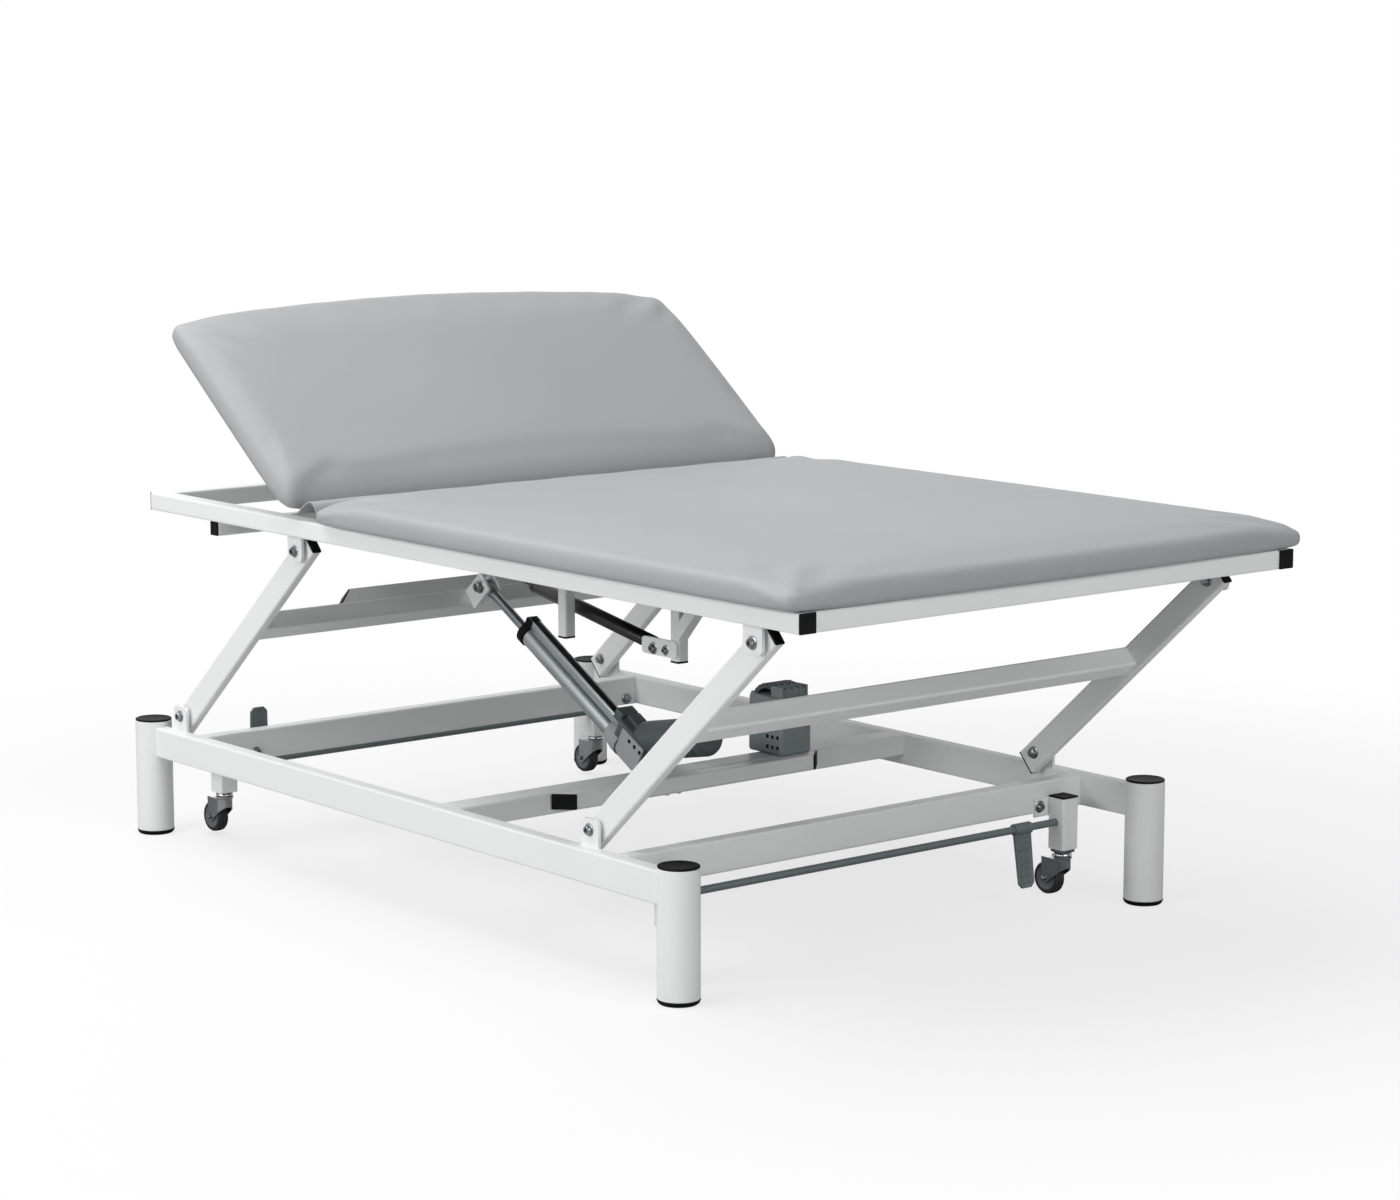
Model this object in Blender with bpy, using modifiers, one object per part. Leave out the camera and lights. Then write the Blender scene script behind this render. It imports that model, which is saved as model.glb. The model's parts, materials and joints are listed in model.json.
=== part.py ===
"""Bobath table: a wide two-section therapy couch on a parallelogram lifting frame."""

import math

import bmesh
import bpy
from mathutils import Matrix, Vector

# All sizes are in metres and all angles in degrees. X runs from the head end to the foot
# end, Y across the table and Z up. The base is laid out from its own middle; the top is
# laid out from the upper pivot of the head lift arms.

GAP = 0.0003               # left between neighbouring pieces
RUN = 0.0003               # radial clearance of every pivot
BITE = 0.002               # how far a welded plate sinks into the tube that carries it
WALL = 0.003               # wall of the steel tubes
CORNER = 0.004             # outside corner radius of the steel tubes

# Pose that the table is drawn in
LIFT_ANGLE = 41.41
BACKREST_ANGLE = 37.0

# Base frame
INNER_Y = 0.5395           # inner faces of the base rails and of the top rails
RAIL_WIDTH = 0.030
RAIL_HEIGHT = 0.060
RAIL_TOP = 0.2206
LEG_X = 0.8415
LEG_Y = 0.554
LEG_RADIUS = 0.0365
LEG_TOP = 0.231
FOOT_HEIGHT = 0.008
CROSS_X = 0.675
MID_X = 0.1695
MID_WIDTH = 0.060
MID_HEIGHT = 0.040
BEAM_WIDTH = 0.034
BEAM_HEIGHT = 0.030
BEAM_LENGTH = 0.640
BEAM_Y = -0.015

# Lift
ARM_LENGTH = 0.574
ARM_OVERRUN = 0.030
ARM_DEPTH = 0.050
ARM_THICK = 0.020
ARM_SIDE_GAP = 0.006       # room for the spacer between a lug and an arm
ARM_DROP = 0.003           # the pivots lie above the middle of the arm
HEAD_PIVOT_X = -0.7504
FOOT_PIVOT_X = 0.5896
PIVOT_Z = 0.2498
PIN_RADIUS = 0.006
LUG_WIDTH = 0.048
LUG_THICK = 0.006
LUG_REACH = 0.019
LUG_ROUND = 0.010
ARM_BEAM = 0.040
ARM_BEAM_AT = 0.313
STIFFENER_HEIGHT = 0.030
STIFFENER_LENGTH = 0.620

# Actuator, from the rear pivot on the middle rail to the lug on the head beam
ACTUATOR_X = 0.100
ACTUATOR_Z = 0.1835
ACTUATOR_LUG_AT = 0.066
ACTUATOR_LUG_DROP = 0.008
ACTUATOR_LUG_WIDTH = 0.044
ACTUATOR_LUG_THICK = 0.005
EYE_RADIUS = 0.016
EYE_WIDTH = 0.022
TUBE_RADIUS = 0.0215
TUBE_WALL = 0.0035
TUBE_START = 0.142
TUBE_END = 0.486
ROD_RADIUS = 0.0095
ROD_LENGTH = 0.340
GEARBOX_LENGTH = 0.104
GEARBOX_DEPTH = 0.060
GEARBOX_RISE = 0.021       # middle of the gearbox above the tube's axis
FLANGE_SIZE = (0.022, 0.036, 0.022)
FLANGE_X = -0.148
FLANGE_Z = 0.0475
GEARBOX_WIDTH = 0.064
MOTOR_RADIUS = 0.038
MOTOR_LENGTH = 0.200
MOTOR_TILT = 40.0
MOTOR_X = -0.081           # where the motor leaves the gearbox
MOTOR_Z = 0.034
NECK_LENGTH = 0.062
NECK_HEIGHT = 0.025
BRACKET_ROOM = (0.084, 0.100, 0.090)

# Control box on the middle rail
BOX_SIZE = (0.100, 0.078, 0.114)
LID_SIZE = (0.036, 0.070, 0.040)
LID_RISE = 0.020           # the lid's raised end above the case
BOX_X = 0.165
BOX_Y = 0.244

# Caster kits
POST = 0.040
POST_WALL = 0.003
POST_Y = 0.470
POST_TOP = 0.190
POST_BOTTOM = 0.093
POST_PLATE = 0.004
POST_PLATE_LENGTH = 0.075
SHAFT_RADIUS = 0.007
SHAFT_Z = 0.145
SHAFT_END = 0.024
CAM_RADIUS = 0.0115
CAM_OFFSET = 0.0045
CAM_WIDTH = 0.020
CAM_CLEARANCE = 0.0012
HEAD_PEDAL_Y = -0.386
FOOT_PEDAL_Y = 0.362
PEDAL_WIDTH = 0.042
PEDAL_LENGTH = 0.108
PEDAL_THICK = 0.005
PEDAL_TILT = 8.0
CASTER_TRAVEL = 0.006
WHEEL_RADIUS = 0.031
WHEEL_WIDTH = 0.024
WHEEL_CLEARANCE = 0.0005   # floor gap of a lowered wheel
TRAIL = 0.034
SLUG_BOTTOM = 0.0855
CROWN_RADIUS = 0.018
CROWN_HEIGHT = 0.015
SWIVEL_RADIUS = 0.005
AXLE_RADIUS = 0.003
CHEEK_WIDTH = 0.022
CHEEK_THICK = 0.003

# Top frame, measured from the upper pivot of the head arms
TOP_RAIL_WIDTH = 0.035
TOP_RAIL_HEIGHT = 0.035
TOP_RAIL_RISE = 0.0332     # from the pivots up to the underside of the rails
TOP_HEAD_X = -0.476
TOP_FOOT_X = 1.485
STOP_X = -0.264
STOP_WIDTH = 0.026
STOP_HEIGHT = 0.030
STOP_REACH = 0.0185        # how far the stop tube runs under each top rail
SMALL_TUBE = 0.025
SMALL_WALL = 0.002
REST_POST_X = 0.278
REST_POST_Y = -0.115
REST_POST_BOTTOM = -0.1705
SPRING_POST_X = 0.582
SPRING_Y = -0.080
SPRING_POST_BOTTOM = -0.1815
SPRING_POST_SHIFT = 0.004  # sets the post and its plate clear of the spring
SPRING_PLATE = 0.005
SPRING_PLATE_HEIGHT = 0.032
BRACE_ANGLE = 48.0

# Backrest, measured from its hinge
HINGE_X = 0.0599
HINGE_Z = 0.0505
HINGE_BAR_RADIUS = 0.011
SLEEVE_RADIUS = 0.015
SLEEVE_LENGTH = 0.044
BACK_ARM_INSET = 0.156     # from the side of the backrest pad to the middle of an arm
BACK_ARM_LENGTH = 0.480
BACK_BAR_X = -0.055
LEVER_LENGTH = 0.146
LEVER_WIDTH = 0.030
LEVER_THICK = 0.005

# Gas spring, from the eye on the spring post to the lever
GAS_X = 0.525
GAS_Z = -0.1640
GAS_EYE_RADIUS = 0.011
GAS_EYE_WIDTH = 0.014
GAS_PIN_RADIUS = 0.005
GAS_RADIUS = 0.014
GAS_LENGTH = 0.405
GAS_ROD_RADIUS = 0.005
GAS_ROD_LENGTH = 0.300

# Upholstery
SEAT_HEAD_X = 0.135
SEAT_FOOT_X = 1.517
SEAT_WIDTH = 1.216
SEAT_THICK = 0.061
SEAT_BOW = 0.028
BACK_PAD_START = 0.020
BACK_PAD_END = 0.580
BACK_PAD_WIDTH = 1.218
BACK_PAD_BOW = 0.060
PAD_EDGE = 0.042
PAD_WAIST = 0.012          # the widest line lies this far below the middle
PAD_ROUND = 0.007          # draws the four corners in
PAD_CROWN = 0.010
SEAT_INSET = (0.006, 0.006)   # how far the corners draw in, hinge end and free end
BACK_INSET = (0.004, 0.002)
FLAP_THICK = 0.0025
FLAP_HALF = 0.580
FLAP_WAVE = ((0.0605, 0.0810), (0.0690, 0.0856), (0.0785, 0.0935), (0.0895, 0.1010),
             (0.1030, 0.1085), (0.1170, 0.1050), (0.1265, 0.0900), (0.1352, 0.0752))

# Values that follow from the ones above
THETA = math.radians(LIFT_ANGLE)
TIP_X = ARM_LENGTH * math.cos(THETA)
TIP_Z = ARM_LENGTH * math.sin(THETA)
TOP_X = HEAD_PIVOT_X + TIP_X
TOP_Z = PIVOT_Z + TIP_Z
TOP_RAIL_TOP = TOP_RAIL_RISE + TOP_RAIL_HEIGHT
ARM_OUTER = INNER_Y - ARM_SIDE_GAP
ARM_INNER = ARM_OUTER - ARM_THICK
CENTRE_X = (TOP_X + SEAT_FOOT_X - LEG_X - LEG_RADIUS) / 2
POST_X = CROSS_X + RAIL_WIDTH / 2 + GAP + POST_PLATE - 0.0005 + POST / 2
PAD_OFFSET = TOP_RAIL_TOP + GAP - HINGE_Z
BACK_ARM_Y = BACK_PAD_WIDTH / 2 - BACK_ARM_INSET


# Start from an empty file and make the collections
for old in list(bpy.data.objects):
    bpy.data.objects.remove(old, do_unlink=True)
parts = bpy.data.collections.new("bobath_table")
helpers = bpy.data.collections.new("cutters")
for group in (parts, helpers):
    bpy.context.scene.collection.children.link(group)


def paint(name, colour, roughness, metallic=0.0):
    """A plain material with one colour."""
    material = bpy.data.materials.new(name)
    material.use_nodes = True
    shader = material.node_tree.nodes["Principled BSDF"]
    shader.inputs["Base Color"].default_value = (*colour, 1.0)
    shader.inputs["Roughness"].default_value = roughness
    shader.inputs["Metallic"].default_value = metallic
    return material


white = paint("white_powder_coat", (0.80, 0.80, 0.80), 0.40)
black = paint("black_plastic", (0.015, 0.015, 0.016), 0.50)
dark = paint("dark_grey_plastic", (0.075, 0.085, 0.090), 0.50)
pedal_grey = paint("pedal_grey", (0.060, 0.078, 0.085), 0.50)
alloy = paint("anodised_aluminium", (0.42, 0.45, 0.46), 0.35, 1.0)
steel = paint("bright_steel", (0.60, 0.62, 0.63), 0.25, 1.0)
gas_black = paint("gas_spring_black", (0.010, 0.010, 0.011), 0.35)
tyre = paint("tyre_rubber", (0.012, 0.012, 0.013), 0.70)
vinyl = paint("grey_vinyl", (0.36, 0.37, 0.38), 0.45)

TURN = {"X": Matrix.Identity(4),
        "Y": Matrix.Rotation(math.radians(90), 4, "Z"),
        "Z": Matrix.Rotation(math.radians(-90), 4, "Y")}


def empty(name, parent, location, pitch=0.0):
    """A pivot: its Y axis is the joint axis, pitch lifts the head side."""
    obj = bpy.data.objects.new(name, None)
    parts.objects.link(obj)
    obj.parent = parent
    obj.location = location
    obj.rotation_euler = (0.0, math.radians(pitch), 0.0)
    return obj


def make(name, bm, material, parent, location, pitch=0.0):
    """Turn a mesh under construction into an object; without a material it is a helper."""
    bm.normal_update()
    mesh = bpy.data.meshes.new(name)
    bm.to_mesh(mesh)
    bm.free()
    mesh.shade_smooth()
    mesh.set_sharp_from_angle(angle=math.radians(35))
    obj = bpy.data.objects.new(name, mesh)
    obj.parent = parent
    obj.location = location
    obj.rotation_euler = (0.0, math.radians(pitch), 0.0)
    if material is None:
        helpers.objects.link(obj)
        obj.hide_render = True
        obj.display_type = "WIRE"
    else:
        parts.objects.link(obj)
        mesh.materials.append(material)
    return obj


def box_mesh(size):
    bm = bmesh.new()
    bmesh.ops.create_cube(bm, size=1.0)
    bmesh.ops.scale(bm, vec=size, verts=bm.verts)
    return bm


def edges_along(bm, axis):
    """Edges of a box that run along one axis."""
    return [e for e in bm.edges if (e.verts[0].co - e.verts[1].co).normalized()[axis] ** 2 > 0.9]


def tube(name, length, width, height, material, parent, location, axis="X", wall=WALL, pitch=0.0):
    """Open rectangular tube. Along Y its width lies on X, along Z its height lies on X."""
    bm = box_mesh((length, width, height))
    bmesh.ops.bevel(bm, geom=edges_along(bm, 0), offset=CORNER, segments=2, profile=0.5,
                    affect="EDGES")
    bm.normal_update()
    ends = [f for f in bm.faces if abs(f.normal.x) > 0.9]
    bmesh.ops.delete(bm, geom=ends, context="FACES_ONLY")
    bmesh.ops.transform(bm, matrix=TURN[axis], verts=bm.verts)
    obj = make(name, bm, material, parent, location, pitch)
    shell = obj.modifiers.new("wall", "SOLIDIFY")
    shell.thickness = wall
    shell.offset = -1.0
    shell.use_even_offset = True
    return obj


def block(name, size, material, parent, location, rounding=0.0, pitch=0.0):
    """Solid box with all of its edges rounded by a Bevel."""
    obj = make(name, box_mesh(size), material, parent, location, pitch)
    if rounding:
        bevel = obj.modifiers.new("rounding", "BEVEL")
        bevel.width = rounding
        bevel.segments = 2
    return obj


def lug(name, size, parent, location, top, pitch=0.0, rounding=LUG_ROUND):
    """Helper plate on edge whose two free corners (top +1, bottom -1, both 0) are rounded."""
    bm = box_mesh(size)
    free = [e for e in edges_along(bm, 1) if top == 0 or e.verts[0].co.z * top > 0]
    bmesh.ops.bevel(bm, geom=free, offset=rounding, segments=4, profile=0.5, affect="EDGES")
    return make(name, bm, None, parent, location, pitch)


def rod(name, radius, length, material, parent, location, axis="Y", sides=16, pitch=0.0):
    """Solid cylinder along an axis, with its middle at the location."""
    bm = bmesh.new()
    bmesh.ops.create_cone(bm, cap_ends=True, segments=sides, radius1=radius, radius2=radius,
                          depth=length)
    to_x = Matrix.Rotation(math.radians(90), 4, "Y")
    bmesh.ops.transform(bm, matrix=TURN[axis] @ to_x, verts=bm.verts)
    return make(name, bm, material, parent, location, pitch)


def boolean(target, operation, *tools):
    for tool in tools:
        step = target.modifiers.new(tool.name, "BOOLEAN")
        step.solver = "EXACT"
        step.operation = operation
        step.object = tool


table = empty("table", None, (-CENTRE_X, 0.0, 0.0))


# Base rails: tubes between the legs, with the lugs and pins of the lower arm pivots
for side, word in ((-1, "near"), (1, "far")):
    rail_z = RAIL_TOP - RAIL_HEIGHT / 2
    rail = tube(f"base_rail_{word}", 2 * LEG_X, RAIL_WIDTH, RAIL_HEIGHT, white, table,
                (0.0, side * (INNER_Y + RAIL_WIDTH / 2), rail_z))
    lug_y = side * (INNER_Y + 0.001 + LUG_THICK / 2)
    lug_low = RAIL_TOP - BITE
    lug_high = PIVOT_Z + LUG_REACH
    for at, end in ((HEAD_PIVOT_X, "head"), (FOOT_PIVOT_X, "foot")):
        plate = lug(f"base_lug_{end}_{word}", (LUG_WIDTH, LUG_THICK, lug_high - lug_low), table,
                    (at, lug_y, (lug_low + lug_high) / 2), 1)
        pin_out = INNER_Y + 0.005
        pin_in = ARM_INNER - 0.006
        pin = rod(f"base_pin_{end}_{word}", PIN_RADIUS, pin_out - pin_in, None, table,
                  (at, side * (pin_out + pin_in) / 2, PIVOT_Z))
        boolean(rail, "UNION", plate, pin)
    for end in (-1, 1):
        cope = rod(f"cope_{word}_{end}", LEG_RADIUS + GAP, 0.40, None, table,
                   (end * LEG_X, side * LEG_Y, RAIL_TOP), "Z", 32)
        boolean(rail, "DIFFERENCE", cope)

# Legs: round tubes closed on top, on black feet
for end, end_word in ((-1, "head"), (1, "foot")):
    for side, word in ((-1, "near"), (1, "far")):
        bottom = FOOT_HEIGHT + GAP
        leg = rod(f"leg_{end_word}_{word}", LEG_RADIUS, LEG_TOP - bottom, white, table,
                  (end * LEG_X, side * LEG_Y, (LEG_TOP + bottom) / 2), "Z", 32)
        hollow = rod(f"leg_hollow_{end_word}_{word}", LEG_RADIUS - WALL, LEG_TOP, None, table,
                     (end * LEG_X, side * LEG_Y, LEG_TOP / 2 - 0.005), "Z", 32)
        boolean(leg, "DIFFERENCE", hollow)
        foot = rod(f"foot_pad_{end_word}_{word}", LEG_RADIUS, FOOT_HEIGHT, black, table,
                   (end * LEG_X, side * LEG_Y, FOOT_HEIGHT / 2), "Z", 32)
        edge = foot.modifiers.new("edge", "BEVEL")
        edge.width = 0.002
        edge.segments = 1

# Cross rails between the long rails
cross_length = 2 * (INNER_Y - GAP)
for end, end_word in ((-1, "head"), (1, "foot")):
    tube(f"base_crossbar_{end_word}", cross_length, RAIL_WIDTH, RAIL_HEIGHT, white, table,
         (end * CROSS_X, 0.0, RAIL_TOP - RAIL_HEIGHT / 2), "Y")
mid = tube("base_crossbar_mid", cross_length, MID_WIDTH, MID_HEIGHT, white, table,
           (MID_X, 0.0, RAIL_TOP - MID_HEIGHT / 2), "Y")

# Rear bracket of the actuator: two cheeks and a pin on the middle rail
cheek_y = EYE_WIDTH / 2 + 0.0005 + LUG_THICK / 2
cheek_low = ACTUATOR_Z - 0.020
cheek_high = ACTUATOR_Z + 0.020
cheek_x0 = ACTUATOR_X - 0.018
cheek_x1 = MID_X - MID_WIDTH / 2 + BITE
for side, word in ((-1, "near"), (1, "far")):
    cheek = block(f"bracket_{word}", (cheek_x1 - cheek_x0, LUG_THICK, cheek_high - cheek_low), None,
                  table, ((cheek_x0 + cheek_x1) / 2, side * cheek_y, (cheek_low + cheek_high) / 2))
    boolean(mid, "UNION", cheek)
bracket_pin = rod("bracket_pin", PIN_RADIUS, 2 * cheek_y + LUG_THICK + 0.006, None, table,
                  (ACTUATOR_X, 0.0, ACTUATOR_Z))
boolean(mid, "UNION", bracket_pin)

# Motor beam beside the middle rail, with both ends mitred
beam_x = MID_X + MID_WIDTH / 2 + GAP + BEAM_WIDTH / 2
beam = tube("motor_beam", BEAM_LENGTH, BEAM_WIDTH, BEAM_HEIGHT, white, table,
            (beam_x, BEAM_Y, RAIL_TOP - BEAM_HEIGHT / 2), "Y")
for side in (-1, 1):
    mitre = block(f"mitre_{side}", (0.10, 0.10, 0.10), None, table,
                  (beam_x + BEAM_WIDTH / 2, BEAM_Y + side * (BEAM_LENGTH / 2 + 0.050 * math.sqrt(2)
                                                            - BEAM_WIDTH), RAIL_TOP))
    mitre.rotation_euler = (0.0, 0.0, math.radians(45))
    boolean(beam, "DIFFERENCE", mitre)

# Control box: a rounded case with a hump and a cable gland on its head side
case = block("control_box", BOX_SIZE, dark, table, (BOX_X, BOX_Y, RAIL_TOP + GAP + BOX_SIZE[2] / 2),
             0.006)
hump = rod("box_hump", 0.044, BOX_SIZE[1] - 0.016, None, table,
           (BOX_X - 0.004, BOX_Y, RAIL_TOP + BOX_SIZE[2] - 0.022), "Y", 32)
lid_end = block("box_lid_end", LID_SIZE, None, table,
                (BOX_X + (BOX_SIZE[0] - LID_SIZE[0]) / 2 - 0.002, BOX_Y,
                 RAIL_TOP + BOX_SIZE[2] + LID_RISE - LID_SIZE[2] / 2), 0.004)
gland = rod("box_gland", 0.008, 0.024, None, table,
            (BOX_X - BOX_SIZE[0] / 2, BOX_Y - 0.012, RAIL_TOP + 0.040), "X", 16)
boolean(case, "UNION", hump, lid_end, gland)

# Caster kits: the foot kit stands lowered, the head kit raised, its pedal upright
for end, end_word, lift, pedal_side, pedal_pitch in (
        (-1, "head", CASTER_TRAVEL, HEAD_PEDAL_Y, 0.0),
        (1, "foot", 0.0, FOOT_PEDAL_Y, 180.0 - PEDAL_TILT)):
    shaft_at = (end * POST_X, 0.0, SHAFT_Z)
    shaft = rod(f"pedal_shaft_{end_word}", SHAFT_RADIUS, 2 * (POST_Y + SHAFT_END), pedal_grey, table,
                shaft_at, pitch=pedal_pitch)
    hub = rod(f"pedal_hub_{end_word}", 0.011, PEDAL_WIDTH, None, shaft, (0.0, pedal_side, 0.0))
    blade = block(f"pedal_blade_{end_word}", (PEDAL_THICK, PEDAL_WIDTH, PEDAL_LENGTH), None, shaft,
                  (0.0, pedal_side, PEDAL_LENGTH / 2 + 0.004), 0.002)
    boolean(shaft, "UNION", hub, blade)
    for side, word in ((-1, "near"), (1, "far")):
        tag = f"{end_word}_{word}"
        at_x = end * POST_X
        at_y = side * POST_Y
        cam = rod(f"cam_{tag}", CAM_RADIUS, CAM_WIDTH, None, shaft, (0.0, at_y, CAM_OFFSET))
        boolean(shaft, "UNION", cam)

        post = tube(f"caster_post_{tag}", POST_TOP - POST_BOTTOM, POST, POST, white, table,
                    (at_x, at_y, (POST_TOP + POST_BOTTOM) / 2), "Z", POST_WALL)
        plate_x = end * (CROSS_X + RAIL_WIDTH / 2 + GAP + POST_PLATE / 2)
        plate_y = at_y - end * (POST_PLATE_LENGTH - POST) / 2
        plate_low = RAIL_TOP - RAIL_HEIGHT - 0.006
        plate = block(f"post_plate_{tag}", (POST_PLATE, POST_PLATE_LENGTH, POST_TOP - plate_low), None,
                      table, (plate_x, plate_y, (POST_TOP + plate_low) / 2))
        bore = rod(f"shaft_bore_{tag}", SHAFT_RADIUS + RUN, POST + 0.060, None, table,
                   (at_x, at_y, SHAFT_Z))
        boolean(post, "UNION", plate)
        boolean(post, "DIFFERENCE", bore)

        slug_top = SHAFT_Z - CAM_RADIUS - CAM_OFFSET - CAM_CLEARANCE
        slug_side = POST - 2 * POST_WALL - 2 * GAP
        slug_z = (slug_top + SLUG_BOTTOM) / 2
        stem = block(f"caster_stem_{tag}", (slug_side, slug_side, slug_top - SLUG_BOTTOM), steel, table,
                     (at_x, at_y, slug_z + lift), 0.003)
        swivel = rod(f"swivel_pin_{tag}", SWIVEL_RADIUS, 0.024, None, stem,
                     (0.0, 0.0, SLUG_BOTTOM - slug_z), "Z")
        boolean(stem, "UNION", swivel)

        crown_top = SLUG_BOTTOM - GAP
        crown_z = crown_top - CROWN_HEIGHT / 2
        axle_z = WHEEL_RADIUS + WHEEL_CLEARANCE
        fork = rod(f"caster_fork_{tag}", CROWN_RADIUS, CROWN_HEIGHT, steel, table,
                   (at_x, at_y, crown_z + lift), "Z", 24)
        drop = crown_z - axle_z
        trail = TRAIL if tag == "foot_near" else -TRAIL
        slope = math.atan2(-trail, drop)
        for cheek_side in (-1, 1):
            inner = WHEEL_WIDTH / 2 + 0.0005
            cheek = block(f"cheek_{tag}_{cheek_side}",
                          (CHEEK_WIDTH, CHEEK_THICK, math.hypot(TRAIL, drop) + 0.010), None, fork,
                          (trail * 0.58, cheek_side * (inner + CHEEK_THICK / 2), -drop / 2 - 0.004),
                          pitch=math.degrees(slope))
            boolean(fork, "UNION", cheek)
        axle = rod(f"axle_{tag}", AXLE_RADIUS, WHEEL_WIDTH + 2 * CHEEK_THICK + 0.004, None, fork,
                   (trail, 0.0, -drop), sides=12)
        socket = rod(f"swivel_bore_{tag}", SWIVEL_RADIUS + RUN, CROWN_HEIGHT + 0.020, None, fork,
                     (0.0, 0.0, 0.0), "Z")
        boolean(fork, "UNION", axle)
        boolean(fork, "DIFFERENCE", socket)

        wheel = rod(f"caster_wheel_{tag}", WHEEL_RADIUS, WHEEL_WIDTH, tyre, table,
                    (at_x + trail, at_y, axle_z + lift), sides=28)
        tread = wheel.modifiers.new("tread", "BEVEL")
        tread.width = 0.004
        tread.segments = 2
        hole = rod(f"wheel_bore_{tag}", AXLE_RADIUS + RUN, 0.060, None, wheel, (0.0, 0.0, 0.0), sides=12)
        boolean(wheel, "DIFFERENCE", hole)

# Lift arms and their beams, built level and pitched about the lower pivots
pivots = {}
for at, end_word in ((HEAD_PIVOT_X, "head"), (FOOT_PIVOT_X, "foot")):
    pivots[end_word] = empty(f"{end_word}_arm_pivot", table, (at, 0.0, PIVOT_Z), -LIFT_ANGLE)
    for side, word in ((-1, "near"), (1, "far")):
        tag = f"{end_word}_{word}"
        arm_y = side * (ARM_INNER + ARM_THICK / 2)
        arm = tube(f"lift_arm_{tag}", ARM_LENGTH + 2 * ARM_OVERRUN, ARM_THICK, ARM_DEPTH, white,
                   pivots[end_word], (ARM_LENGTH / 2, arm_y, -ARM_DROP))
        for along, where in ((0.0, "low"), (ARM_LENGTH, "high")):
            bore = rod(f"arm_bore_{where}_{tag}", PIN_RADIUS + RUN, 3 * ARM_THICK, None,
                       pivots[end_word], (along, arm_y, 0.0))
            boolean(arm, "DIFFERENCE", bore)
    tube(f"arm_beam_{end_word}", 2 * (ARM_INNER - GAP), ARM_BEAM, ARM_BEAM, white, pivots[end_word],
         (ARM_BEAM_AT, 0.0, 0.0), "Y")

# Stiffener and actuator lug on the head beam
head_beam = bpy.data.objects["arm_beam_head"]
stiffener = block("stiffener", (ARM_BEAM - 0.002, STIFFENER_LENGTH, STIFFENER_HEIGHT + BITE), None,
                  pivots["head"], (ARM_BEAM_AT, 0.0, (ARM_BEAM + STIFFENER_HEIGHT - BITE) / 2))
for side in (-1, 1):
    mitre = block(f"stiffener_mitre_{side}", (0.2, 0.10, 0.10), None, pivots["head"],
                  (ARM_BEAM_AT, side * (STIFFENER_LENGTH / 2 + 0.050 * math.sqrt(2) - STIFFENER_HEIGHT),
                   ARM_BEAM / 2 + STIFFENER_HEIGHT))
    mitre.rotation_euler = (math.radians(45), 0.0, 0.0)
    boolean(stiffener, "DIFFERENCE", mitre)
boolean(head_beam, "UNION", stiffener)
lug_start = ARM_BEAM_AT + ARM_BEAM / 2 - BITE
lug_end = ARM_BEAM_AT + ACTUATOR_LUG_AT + 0.022
lug_y = EYE_WIDTH / 2 + 0.0005 + ACTUATOR_LUG_THICK / 2
for side in (-1, 1):
    plate = block(f"actuator_lug_{side}", (lug_end - lug_start, ACTUATOR_LUG_THICK, ACTUATOR_LUG_WIDTH),
                  None, pivots["head"], ((lug_start + lug_end) / 2, side * lug_y, -ACTUATOR_LUG_DROP))
    boolean(head_beam, "UNION", plate)

# Actuator: it lies along -X of an empty on the rear pivot, pitched up to the lug
lug_along = ARM_BEAM_AT + ACTUATOR_LUG_AT
eye_x = HEAD_PIVOT_X + lug_along * math.cos(THETA) + ACTUATOR_LUG_DROP * math.sin(THETA)
eye_z = PIVOT_Z + lug_along * math.sin(THETA) - ACTUATOR_LUG_DROP * math.cos(THETA)
reach = math.hypot(eye_x - ACTUATOR_X, eye_z - ACTUATOR_Z)
actuator_pitch = math.degrees(math.atan2(eye_z - ACTUATOR_Z, ACTUATOR_X - eye_x))
actuator = empty("actuator_pivot", table, (ACTUATOR_X, 0.0, ACTUATOR_Z), actuator_pitch)

gear_x = GAP - TUBE_START + GEARBOX_LENGTH / 2
housing = block("actuator_housing", (GEARBOX_LENGTH, GEARBOX_WIDTH, GEARBOX_DEPTH), dark, actuator,
                (gear_x, 0.0, GEARBOX_RISE), 0.006)
flange = block("housing_flange", FLANGE_SIZE, None, actuator, (FLANGE_X, 0.0, FLANGE_Z), 0.003)
tail = rod("housing_eye", EYE_RADIUS, EYE_WIDTH, None, actuator, (0.0, 0.0, 0.0))
neck = block("housing_neck", (NECK_LENGTH, EYE_WIDTH - 0.003, NECK_HEIGHT), None, actuator,
             (0.001 - NECK_LENGTH / 2, 0.0, 0.0))
slot = block("bracket_room", BRACKET_ROOM, None, actuator, (0.0, 0.0, 0.0))
tilt = math.radians(MOTOR_TILT)
motor_half = MOTOR_LENGTH / 2
motor = rod("housing_motor", MOTOR_RADIUS, MOTOR_LENGTH, None, actuator,
            (MOTOR_X + motor_half * math.cos(tilt), 0.0, MOTOR_Z + motor_half * math.sin(tilt)), "X", 32,
            -MOTOR_TILT)
tail_bore = rod("housing_bore", PIN_RADIUS + RUN, 0.20, None, actuator, (0.0, 0.0, 0.0))
boolean(housing, "DIFFERENCE", slot)
boolean(housing, "UNION", neck, tail, motor, flange)
boolean(housing, "DIFFERENCE", tail_bore)

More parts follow.
